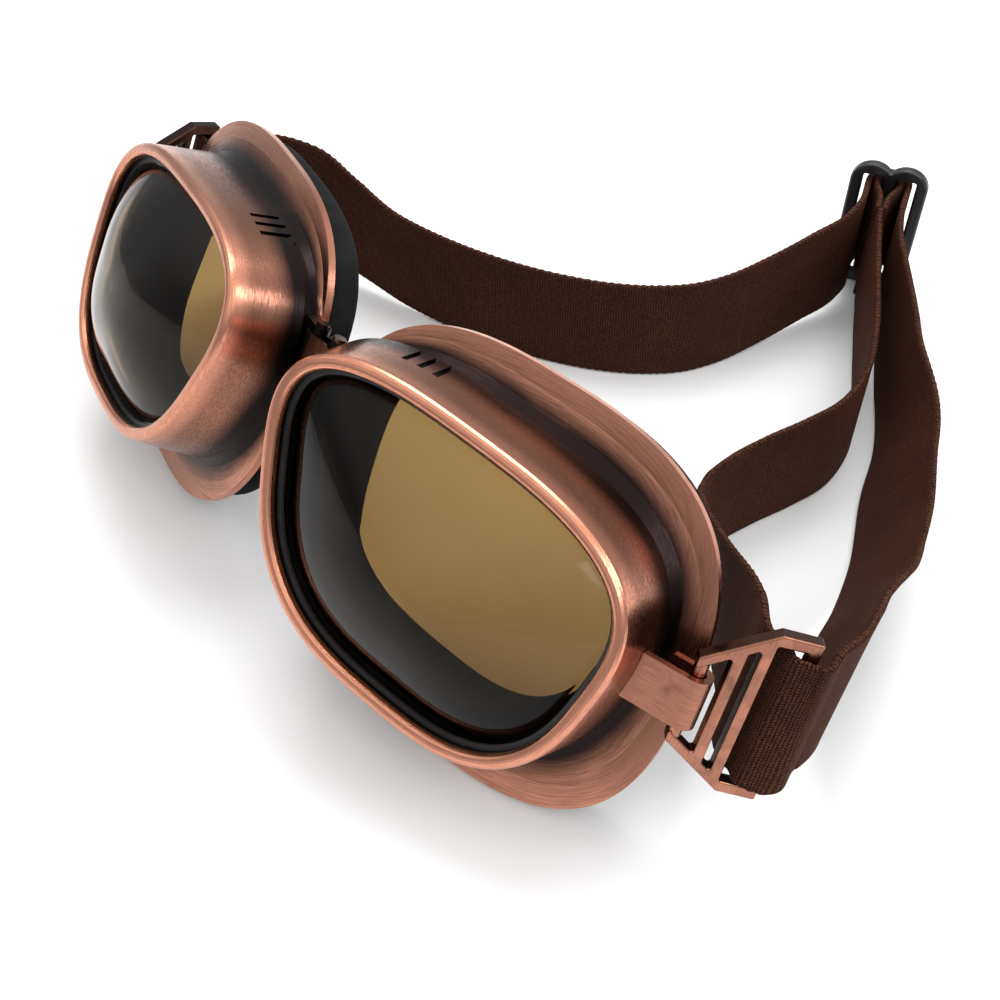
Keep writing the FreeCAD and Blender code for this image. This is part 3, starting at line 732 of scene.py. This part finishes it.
@dataclass
class FacePad:
    """Foam ring behind a flange. Lengths in millimetres."""

    side: Side
    front: float = 20.4
    depth: float = 7.4
    inset: float = 1.2
    width: float = 10.0
    ease: float = 0.45
    relief: float = 2.6
    corner: float = 0.80
    front_draw: float = 0.10
    stations: int = 120
    loop: int = 28
    flange: Outline = Outline(80.9, 73.6, 0.72, 0.02, -0.08, 4.1, -1.7)

    def section(self, turn: float) -> Flat:
        """Section of the ring.

        Args:
            turn: Turn round the section.

        Returns:
            Share across the ring and share of its depth.
        """
        out = math.copysign(abs(math.cos(turn)) ** self.corner, math.cos(turn))
        back = math.copysign(abs(math.sin(turn)) ** self.corner, math.sin(turn))
        draw = 1 - self.front_draw * (1 - back) ** 2 / 4
        return 0.5 + 0.5 * out * draw, 0.5 + 0.5 * back

    def build(self, material: bpy.types.Material) -> None:
        """Makes the pad and lets it ride on its cup.

        Args:
            material: Its finish.
        """
        cup = STANCE.cup(self.side)
        outer = self.flange.points(-self.inset - self.ease, self.stations)
        inner = self.flange.points(-self.inset - self.width + self.relief, self.stations)
        points = []
        for (out_x, out_y), (in_x, in_y) in zip(outer, inner):
            for step in range(self.loop):
                share, back = self.section(math.tau * step / self.loop)
                x = in_x + (out_x - in_x) * share
                y = in_y + (out_y - in_y) * share
                point = Vector((self.side.value * x, self.front + self.depth * back, y))
                points.append(cup @ point)
        name = f"{self.side.word}_foam_pad"
        pad = mesh_piece(name, points, grid_faces(self.stations, self.loop, True), material)
        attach(pad, f"{self.side.word}_cup")
        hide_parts(f"{self.side.word}_face_pad")
        log.info("%s made", name)


@dataclass(frozen=True)
class BuckleSizes:
    """Where the buckles and the tabs are. Lengths in millimetres, angles in degrees."""

    tab_across: float = 46.3
    tab_back: float = 11.0
    tab_up: float = 0.5
    tilt: float = 8.0
    left_swing: float = 30.0
    right_swing: float = 72.0
    slot_middle: float = 12.1
    slot: float = 4.8
    thickness: float = 2.6
    end_bar: float = 15.5
    bar_width: float = 2.0

    def frame(self, side: Side) -> Matrix:
        """Frame of one buckle.

        Args:
            side: Which buckle.

        Returns:
            The frame, in millimetres.
        """
        place = Matrix.Translation((side.value * self.tab_across, self.tab_back, self.tab_up))
        angle = self.left_swing if side is Side.LEFT else -self.right_swing
        return (STANCE.cup(side) @ place @ Matrix.Rotation(math.radians(self.tilt), 4, "X")
                @ Matrix.Rotation(math.radians(angle), 4, "Z"))


@dataclass(frozen=True)
class Bend:
    """Piece of the strap between two bodies.

    It has its start and end as shares of the way, and the length that each body holds, in millimetres.
    """

    name: str
    start: float
    end: float
    first: str
    second: str
    first_hold: float = 0.0
    second_hold: float = 0.0

    def ends(self, rows: Sequence[float], points: Sequence[Vector], columns: int) -> tuple[Vector, Vector]:
        """Two points on the line of the piece, past the rows that follow each body whole.

        Args:
            rows: Length along the strap at each row.
            points: Points of the piece, row by row.
            columns: How many points a row has.

        Returns:
            Where the bend starts and ends.
        """
        way = (points[-1] - points[0]).normalized()
        low = [point.dot(way) for place, point in enumerate(points)
               if rows[place // columns] <= rows[0] + self.first_hold]
        high = [point.dot(way) for place, point in enumerate(points)
                if rows[place // columns] >= rows[-1] - self.second_hold]
        return way * max(low), way * min(high)


# Share of the way along a stretch, with its upright direction there.
Lean = tuple[float, Vector]
# Length along a stretch, with its place and its direction there.
Spot = tuple[float, Vector, Vector]


@dataclass
class Strap:
    """The whole strap: three stretches and two hems. Lengths in millimetres."""

    width: float = 26.4
    thickness: float = 1.6
    reach: float = 170.0
    tail: float = 8.0
    gap: float = 0.25
    slider_bar: float = 2.6
    slider_turn: float = 30.0
    slider_height: float = 34.0
    slider_slot: float = 5.0
    row: float = 0.45
    picot: float = 0.010
    picot_pitch: float = 1.8
    firm: float = 12.6
    edge_inset: float = 0.2
    face_inset: float = 0.06
    hem_press: float = 0.02
    buckles: BuckleSizes = BuckleSizes()

    HANGS_FROM = {
        "strap_buckle_hem": ["right_buckle"],
        "strap_slider_hem": ["strap_slider"],
        "strap_back": ["right_buckle", "strap_slider"],
        "strap_outer": ["left_buckle", "strap_slider"],
        "strap_inner": ["left_buckle", "strap_slider"],
    }
    FINE_STEPS = 48
    FEWEST_ROWS = 8
    SHORTEST = 1e-9
    # Section of the webbing: first distances in from its edge, then shares of its half width, each with a
    # share of its half thickness.
    EDGE_CURVE = ((0.0, 0.0), (0.12, 0.6), (0.45, 0.95), (0.9, 0.9))
    FACE_SHARES = ((0.72, 0.9), (0.44, 0.9), (0.15, 0.9))
    LOOP_STEPS = 8
    # Hem: shares of its tail with what they lift off the middle, then degrees round the bar.
    HEM_LEAD = ((1.0, 0.0), (0.80, 0.0), (0.62, 0.10))
    HEM_TURNS = tuple(74 + 21.2 * step for step in range(11))
    # Routes: shares of the reach across and back, and of the width up.
    SLIDER_SHARES = (0.050, 0.988)
    THREAD_SHARES = ((1.0, -0.96), (0.52, -0.96), (0.17, -0.75), (0.0, 0.0), (-0.14, 0.65), (-0.40, 1.5))
    THREAD_MIDDLE = 3
    BACK_SHARES = (
        (-0.525, 0.317, 0.958), (-0.497, 0.362, 0.814), (-0.424, 0.391, 0.655), (-0.329, 0.412, 0.542),
        (-0.247, 0.438, 0.504), (-0.171, 0.468, 0.500), (-0.100, 0.506, 0.500), (-0.047, 0.544, 0.500),
        (-0.006, 0.585, 0.500), (0.024, 0.629, 0.500), (0.041, 0.682, 0.500), (0.049, 0.747, 0.510),
        (0.056, 0.830, 0.550), (0.061, 0.890, 0.600))
    OUTER_SHARES = (
        (0.591, 0.226, 1.295), (0.587, 0.256, 1.223), (0.568, 0.306, 1.072), (0.538, 0.356, 0.902),
        (0.508, 0.412, 0.712), (0.475, 0.488, 0.520), (0.441, 0.553, 0.486), (0.388, 0.629, 0.483),
        (0.335, 0.706, 0.492), (0.259, 0.785, 0.518), (0.176, 0.871, 0.570), (0.129, 0.918, 0.614))
    INNER_SHARES = (
        (0.494, 0.224, 1.230), (0.441, 0.265, 1.030), (0.388, 0.303, 0.845), (0.338, 0.338, 0.663),
        (0.303, 0.368, 0.561), (0.284, 0.400, 0.515), (0.278, 0.441, 0.500), (0.282, 0.494, 0.500),
        (0.292, 0.559, 0.500), (0.296, 0.612, 0.500), (0.279, 0.677, 0.500), (0.235, 0.747, 0.510),
        (0.171, 0.824, 0.560), (0.112, 0.894, 0.606))
    # Shares of the way where a stretch has come upright, and where the outer one leaves and reaches its ends.
    UPRIGHT_FROM = 0.25
    OUTER_LEVEL = 0.125
    OUTER_TURNED = 0.875
    OUTER_LEANS = ((0.30, -8.0), (0.47, -24.0), (0.68, -26.0))
    BACK_BENDS = (
        Bend("strap_back_start", 0.0, 0.30, "right_buckle", "right_cup"),
        Bend("strap_back_run", 0.30, 0.72, "right_cup", "right_cup"),
        Bend("strap_back_end", 0.72, 1.0, "right_cup", "slider", second_hold=20.0))
    OUTER_BENDS = (
        Bend("strap_outer_end", 0.0, 0.25, "slider", "right_cup", first_hold=20.0),
        Bend("strap_outer_back", 0.25, 0.50, "right_cup", "bridge"),
        Bend("strap_outer_side", 0.50, 0.74, "bridge", "left_cup"),
        Bend("strap_outer_front", 0.74, 1.0, "left_cup", "left_buckle"))
    INNER_BENDS = (
        Bend("strap_inner_front", 0.0, 0.26, "left_buckle", "left_cup"),
        Bend("strap_inner_side", 0.26, 0.50, "left_cup", "bridge"),
        Bend("strap_inner_back", 0.50, 0.75, "bridge", "right_cup"),
        Bend("strap_inner_end", 0.75, 1.0, "right_cup", "slider"))

    def route(self, shares: Iterable[Point]) -> list[Vector]:
        """Points of a route in the frame of the part."""
        return [STANCE.floor(x * self.reach, y * self.reach, z * self.width) for x, y, z in shares]

    def slider(self) -> Matrix:
        """Frame of the slider.

        Returns:
            The frame, in millimetres.
        """
        across, back = self.SLIDER_SHARES
        place = STANCE.floor(across * self.reach, back * self.reach, self.slider_height / 2)
        return Matrix.Translation(place) @ Matrix.Rotation(math.radians(self.slider_turn), 4, "Z")

    def hem_hole(self, bar_width: float) -> float:
        """Radius of the hole of a hem that turns on a flat bar."""
        return math.hypot(bar_width, self.buckles.thickness) / 2 + self.gap

    def hem_tail(self, bar_width: float) -> float:
        """Distance from the middle of a bar to the cut ends of the hem round it."""
        return self.hem_hole(bar_width) + self.thickness + self.tail

    def loop(self) -> list[Vector]:
        """Strap round the slider's middle bar.

        Returns:
            Points of the loop.
        """
        radius = self.hem_hole(self.slider_bar) + self.thickness + self.gap + self.thickness / 2
        lead = self.slider_slot
        turns = [math.pi * step / self.LOOP_STEPS for step in range(self.LOOP_STEPS + 1)]
        flat = [(radius, -lead - radius), (radius, -lead / 2)]
        flat += [(radius * math.cos(turn), radius * math.sin(turn)) for turn in turns]
        flat += [(-radius, -lead / 2), (-radius, -lead - radius)]
        place = self.slider()
        return [place @ Vector((x, y, 0)) for x, y in flat]

    def thread(self) -> list[Vector]:
        """Strap through the left buckle's last slot.

        Returns:
            Points of the strap there.
        """
        sizes = self.buckles
        place = sizes.frame(Side.LEFT)
        return [place @ Vector((sizes.slot_middle + x * sizes.slot, y * sizes.thickness, 0))
                for x, y in self.THREAD_SHARES]

    def leaned(self, angle: float) -> Vector:
        """Upright direction leaned towards the middle of the loop."""
        inward = self.slider().to_3x3() @ Vector((-1, 0, 0))
        return Vector((0, 0, 1)) * math.cos(math.radians(angle)) + inward * math.sin(math.radians(angle))

    @staticmethod
    def smooth(points: list[Vector], start: Vector, end: Vector) -> tuple[list[Vector], list[Vector]]:
        """Closely spaced places and directions of a smooth route.

        Args:
            points: Points that the route passes.
            start: Direction at its start.
            end: Direction at its end.

        Returns:
            Places and directions.
        """
        speeds = [start]
        for before, here, after in zip(points, points[1:], points[2:]):
            come, leave = here - before, after - here
            speeds.append((come * (leave.length / come.length) + leave * (come.length / leave.length))
                          / (come.length + leave.length))
        speeds.append(end)
        places, directions = [], []
        for step in range(len(points) - 1):
            first = points[step]
            way = points[step + 1] - first
            leave, arrive = speeds[step] * way.length, speeds[step + 1] * way.length
            for fine in range(Strap.FINE_STEPS):
                gone = fine / Strap.FINE_STEPS
                square, cube = gone * gone, gone ** 3
                places.append(first + way * (3 * square - 2 * cube) + leave * (cube - 2 * square + gone)
                              + arrive * (cube - square))
                directions.append((way * (6 * (gone - square)) + leave * (3 * square - 4 * gone + 1)
                                   + arrive * (3 * square - 2 * gone)).normalized())
        return places + [points[-1]], directions + [end.normalized()]

    @staticmethod
    def up_along(ups: Sequence[Lean], share: float) -> Vector:
        """Upright direction at a share of the way along.

        Args:
            ups: Upright directions along the stretch.
            share: Share of the way.

        Returns:
            The direction there.
        """
        for (start, low), (end, high) in zip(ups, ups[1:]):
            if share <= end:
                gone = (share - start) / (end - start)
                return low.lerp(high, gone * gone * (3 - 2 * gone))
        return ups[-1][1]

    def section(self) -> list[Flat]:
        """Section of the webbing, with a rounded, firmer edge.

        Returns:
            Points across its width and its thickness.
        """
        half, thick = self.width / 2 - self.edge_inset, self.thickness / 2 - self.face_inset
        rise = [(half - inset, thick * share) for inset, share in self.EDGE_CURVE]
        rise += [(half * place, thick * share) for place, share in self.FACE_SHARES]
        top = rise + [(-place, depth) for place, depth in reversed(rise)]
        return top + [(place, -depth) for place, depth in reversed(top[1:-1])]

    def band(self, node: str, points: list[Vector], start: Vector, end: Vector, ups: Sequence[Lean],
             bends: Sequence[Bend], material: bpy.types.Material) -> None:
        """Makes one stretch as a run of pieces between the bodies they join.

        Args:
            node: CAD node that the pieces stand for.
            points: Route of the stretch.
            start: Direction at its start.
            end: Direction at its end.
            ups: Upright directions along it.
            bends: Its pieces.
            material: Its finish.
        """
        places, directions = self.smooth(points, start, end)
        gone = [0.0]
        for before, after in zip(places, places[1:]):
            gone.append(gone[-1] + (after - before).length)
        section = self.section()
        for bend in bends:
            first, last = bend.start * gone[-1], bend.end * gone[-1]
            rows = max(self.FEWEST_ROWS, round((last - first) / self.row))
            spots = []
            spot = 0
            for row in range(rows + 1):
                target = first + (last - first) * row / rows
                while spot < len(gone) - 2 and gone[spot + 1] < target:
                    spot += 1
                share = (target - gone[spot]) / max(gone[spot + 1] - gone[spot], self.SHORTEST)
                spots.append((target, places[spot].lerp(places[spot + 1], share),
                              directions[spot].lerp(directions[spot + 1], share).normalized()))
            self.piece(bend, node, spots, gone[-1], section, ups, material)

    def piece(self, bend: Bend, node: str, spots: Sequence[Spot], length: float, section: Sequence[Flat],
              ups: Sequence[Lean], material: bpy.types.Material) -> None:
        """Makes one piece of a stretch, riding on its body when both its ends are on the same one.

        Args:
            bend: The piece.
            node: CAD node that it stands for.
            spots: Its rows.
            length: Length of the whole stretch.
            section: Section of the webbing.
            ups: Upright directions along the stretch.
            material: Its finish.
        """
        points, weave = [], []
        for along, centre, direction in spots:
            up = self.up_along(ups, along / length)
            side = direction.cross(up).normalized()
            up = side.cross(direction).normalized()
            wave = self.picot * math.sin(math.tau * along / self.picot_pitch)
            for across, depth in section:
                edge = 1 + wave * (abs(across) > self.firm)
                points.append(centre + up * (across * edge) + side * depth)
                weave.append((along * MM, across * MM, 0.0))
        columns = len(section)
        faces: list[Sequence[int]] = list(grid_faces(len(spots), columns, False))
        faces.append(tuple(reversed(range(columns))))
        faces.append(tuple(range(len(points) - columns, len(points))))
        strip = mesh_piece(bend.name, points, faces, material)
        layer = strip.data.attributes.new("weave", "FLOAT_VECTOR", "POINT")
        layer.data.foreach_set("vector", [part for row in weave for part in row])
        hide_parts(node)
        (spots[-1][0] - spots[0][0]) * MM
        if bend.second == bend.first:
            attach(strip, bend.first)
        else:
            start, end = bend.ends([spot[0] for spot in spots], points, columns)
            start * MM
            end * MM
            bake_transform(strip)
        log.info("%s made, %.0f mm", bend.name, spots[-1][0] - spots[0][0])

    def hem(self, node: str, body: str, bar_width: float, place: Matrix, along: Vector,
            material: bpy.types.Material) -> None:
        """Makes a hem: the strap folded round a bar, with its two layers sewn together.

        Args:
            node: CAD node that it stands for.
            body: Body that it rides on.
            bar_width: Width of the bar.
            place: Frame of the bar.
            along: Direction of the strap from the bar.
            material: Its finish.
        """
        radius = self.hem_hole(bar_width) + self.thickness / 2
        tail = self.hem_tail(bar_width)
        across = Vector((-along.y, along.x, 0))
        lie = self.thickness / 2 - self.hem_press
        lead = [(tail * share, lie + lift) for share, lift in self.HEM_LEAD]
        turns = [math.radians(turn) for turn in self.HEM_TURNS]
        flat = lead + [(radius * math.cos(turn), radius * math.sin(turn)) for turn in turns]
        flat += [(x, -y) for x, y in reversed(lead)]
        points = [place @ (along * x + across * y) for x, y in flat]
        start = (points[1] - points[0]).normalized()
        end = (points[-1] - points[-2]).normalized()
        up = (place.to_3x3() @ Vector((0, 0, 1))).normalized()
        fold = Bend(node + "_fold", 0.0, 1.0, body, body)
        self.band(node, points, start, end, [(0.0, up), (1.0, up)], [fold], material)

    def build(self, material: bpy.types.Material) -> None:
        """Makes every stretch and hem.

        Args:
            material: Finish of the webbing.
        """
        plumb = Vector((0, 0, 1))
        left, right = self.buckles.frame(Side.LEFT), self.buckles.frame(Side.RIGHT)
        left_up, right_up = left.to_3x3() @ plumb, right.to_3x3() @ plumb
        bar_width = self.buckles.bar_width
        bar = right @ Matrix.Translation((-self.buckles.end_bar, 0, 0))
        slider = self.slider()
        self.hem("strap_buckle_hem", "right_buckle", bar_width, bar, Vector((-1, 0, 0)), material)
        self.hem("strap_slider_hem", "slider", self.slider_bar, slider, Vector((0, -1, 0)), material)
        right_start = bar @ Vector((-self.hem_tail(bar_width), 0, 0))
        slider_end = slider @ Vector((0, -self.hem_tail(self.slider_bar), 0))
        right_along = bar.to_3x3() @ Vector((-1, 0, 0))
        loop_way, slider_back = slider.to_3x3() @ Vector((1, 0, 0)), slider.to_3x3() @ Vector((0, 1, 0))
        loop, thread = self.loop(), self.thread()
        middle, slot = len(loop) // 2, self.THREAD_MIDDLE
        through = (thread[slot + 1] - thread[slot - 1]).normalized()
        leans = [(share, self.leaned(angle)) for share, angle in self.OUTER_LEANS]
        self.band("strap_back", [right_start] + self.route(self.BACK_SHARES) + loop[:middle - 1:-1],
                  right_along, loop_way, [(0.0, right_up), (self.UPRIGHT_FROM, plumb), (1.0, plumb)],
                  self.BACK_BENDS, material)
        self.band("strap_outer", loop[middle::-1] + self.route(self.OUTER_SHARES)[::-1] + thread[:slot + 1],
                  loop_way, through, [(0.0, plumb), (self.OUTER_LEVEL, plumb)] + leans
                  + [(self.OUTER_TURNED, left_up), (1.0, left_up)], self.OUTER_BENDS, material)
        self.band("strap_inner", thread[slot:] + self.route(self.INNER_SHARES) + [slider_end],
                  through, slider_back, [(0.0, left_up), (self.UPRIGHT_FROM, plumb), (1.0, plumb)],
                  self.INNER_BENDS, material)


@dataclass
class Cups:
    """The two cups and the bridge between them, with everything that stays as the solids have it."""

    copper: Copper = Copper()
    # Share of painted shade on the sides of the buckle plates.
    painted_side_shade_share: float = 0.75
    link_age: float = 0.3
    lens: SmokedLens = SmokedLens()
    rubber: DarkTrim = DarkTrim(
        "black_rubber", colour=(0.010, 0.010, 0.011), roughness=0.48, grain=900.0, depth=0.00008)
    liner: DarkTrim = DarkTrim(
        "black_liner", colour=(0.0065, 0.0065, 0.0085), roughness=0.80, grain=300.0, depth=0.00001,
        shine=0.0)
    foam: DarkTrim = DarkTrim(
        "black_foam", colour=(0.0075, 0.0075, 0.0085), roughness=0.90, grain=1500.0, depth=0.00010,
        shine=0.10)

    # Dark share of each side's buckle, tab and pin: patina on the left, mostly painted shade on the right,
    # where the buckle lies in shadow.
    BUCKLE_PATINA_AND_SHADE = {Side.LEFT: 0.08, Side.RIGHT: 0.8}

    @staticmethod
    def dress(node: str, material: bpy.types.Material) -> None:
        """Gives a solid its finish.

        Args:
            node: CAD node to dress.
            material: Its finish.
        """
        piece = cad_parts[node]
        piece.data.materials.clear()
        piece.data.materials.append(material)
        log.info("%s dressed", node)

    def build(self) -> None:
        """Dresses both cups and the bridge, and makes the pads."""
        lens, rubber, liner, foam = (
            finish.material() for finish in (self.lens, self.rubber, self.liner, self.foam))
        for side in Side:
            copper = self.copper.for_cup(side)
            for kind, material in (("bezel", copper), ("flange", copper), ("lens", lens),
                                   ("lens_gasket", rubber), ("lens_retainer", liner),
                                   ("inner_sleeve", liner)):
                self.dress(f"{side.word}_{kind}", material)
            cup, buckle = STANCE.cup(side), BuckleSizes().frame(side).to_3x3()
            patina_and_shade_all_over = self.BUCKLE_PATINA_AND_SHADE[side]
            plate = self.copper.for_hardware(
                f"copper_{side.word}_buckle", buckle.col[2], buckle.col[0], patina_and_shade_all_over, self.painted_side_shade_share)
            strip = self.copper.for_hardware(
                f"copper_{side.word}_tab", cup.col[0].xyz, cup.col[2].xyz, patina_and_shade_all_over, edge=0.0)
            self.dress(f"{side.word}_buckle", plate)
            self.dress(f"{side.word}_tab", strip)
            self.dress(f"{side.word}_bridge_pin", plate)
            FacePad(side).build(foam)
        up = STANCE.cup(Side.LEFT).col[2].xyz
        link = self.copper.for_hardware("copper_link", Vector((1, 0, 0)), up, self.link_age, edge=0.0)
        self.dress("bridge_link", link)


@dataclass(frozen=True)
class Lamp:
    """Soft square light that faces a point. Lengths in metres, power in watts."""

    name: str
    place: Point
    target: Point
    size: float
    power: float

    def hang(self) -> None:
        """Adds the light to the scene."""
        data = bpy.data.lights.new(self.name, "AREA")
        data.size = self.size
        data.energy = self.power
        piece = bpy.data.objects.new(self.name, data)
        way = Vector(self.place) - Vector(self.target)
        piece.matrix_world = Matrix.Translation(self.place) @ way.to_track_quat("Z", "Y").to_matrix().to_4x4()
        bpy.context.scene.collection.objects.link(piece)


@dataclass
class Studio:
    """Camera, pale floor and soft light. Lengths in metres, the lens and the sensor in millimetres."""

    camera_place: Point = (0.154286, -0.155546, 0.213972)
    camera_right: Point = (0.63005601, 0.77651791, 0.0070261)
    camera_up: Point = (-0.57708893, 0.46214954, 0.67333957)
    camera_back: Point = (0.51961312, -0.42829633, 0.73929998)
    camera_start: float = 0.01
    focal: float = 48.07
    sensor: float = 36.0
    floor_size: float = 6.0
    floor_light: Colour = (0.82, 0.82, 0.825)
    floor_dark: Colour = (0.78, 0.78, 0.79)
    floor_scale: float = 3.0
    floor_change: float = 0.3
    floor_roughness: float = 0.55
    floor_shine: float = 0.3

    FLOOR_CORNERS = ((-1, -1), (1, -1), (1, 1), (-1, 1))
    ROOM_STOPS = ((0.0, (0.42, 0.43, 0.45)), (0.30, (0.50, 0.51, 0.53)), (0.62, (1.10, 1.10, 1.10)),
                  (1.0, (1.35, 1.34, 1.32)))
    LAMPS = (
        Lamp("overhead", (-0.25, 0.30, 0.95), (0.0, -0.02, 0.02), size=0.60, power=6.5),
        Lamp("side", (0.75, -0.20, 0.90), (0.02, -0.03, 0.03), size=0.50, power=3.5),
        Lamp("window", (0.75, 0.60, 0.80), (0.02, -0.02, 0.03), size=0.40, power=3.0))

    def camera(self) -> None:
        """Puts the camera at the photograph's viewing angle."""
        data = bpy.data.cameras.new("view")
        data.lens = self.focal
        data.sensor_width = self.sensor
        data.clip_start = self.camera_start
        piece = bpy.data.objects.new("view", data)
        columns = Matrix((self.camera_right, self.camera_up, self.camera_back)).transposed()
        piece.matrix_world = Matrix.Translation(self.camera_place) @ columns.to_4x4()
        bpy.context.scene.collection.objects.link(piece)
        bpy.context.scene.camera = piece

    def floor(self) -> None:
        """Lays a pale floor."""
        shader = Shader("pale_floor")
        change = self.floor_change * shader.noise(shader.place(), self.floor_scale)
        shader.set(Base_Color=shader.mix(change, self.floor_light, self.floor_dark),
                   Roughness=self.floor_roughness, Specular_IOR_Level=self.floor_shine)
        half = self.floor_size / 2 / MM
        corners = [Vector((x * half, y * half, 0)) for x, y in self.FLOOR_CORNERS]
        mesh_piece("pale_floor", corners, [(0, 1, 2, 3)], shader.material)

    def light(self) -> None:
        """Sets a white room with three soft lights."""
        world = bpy.data.worlds.new("white_room")
        world.use_nodes = True
        room = Graph(world.node_tree)
        way = room.node("ShaderNodeTexCoord").outputs["Generated"]
        rise = room.node("ShaderNodeSeparateXYZ", inputs={0: Wire(room, way)}).outputs[2]
        shade = room.node("ShaderNodeValToRGB", {"stops": self.ROOM_STOPS}, {0: Wire(room, rise)})
        back = world.node_tree.nodes["Background"]
        room.put(back.inputs["Color"], Wire(room, shade.outputs[0]))
        bpy.context.scene.world = world
        for lamp in self.LAMPS:
            lamp.hang()
        bpy.context.scene.view_settings.view_transform = "Standard"

    def build(self) -> None:
        """Makes the whole studio."""
        self.camera()
        self.floor()
        self.light()
        log.info("studio made")


def main() -> None:
    """Builds the studio, the cups and the strap, and dresses the slider."""
    logging.basicConfig(level=logging.INFO)
    Studio().build()
    Cups().build()
    Strap().build(Webbing().material())
    plastic = DarkTrim(
        "black_slider", colour=(0.008, 0.008, 0.009), roughness=0.36, grain=700.0, depth=0.00005)
    Cups.dress("strap_slider", plastic.material())


if __name__ == "__main__":
    main()
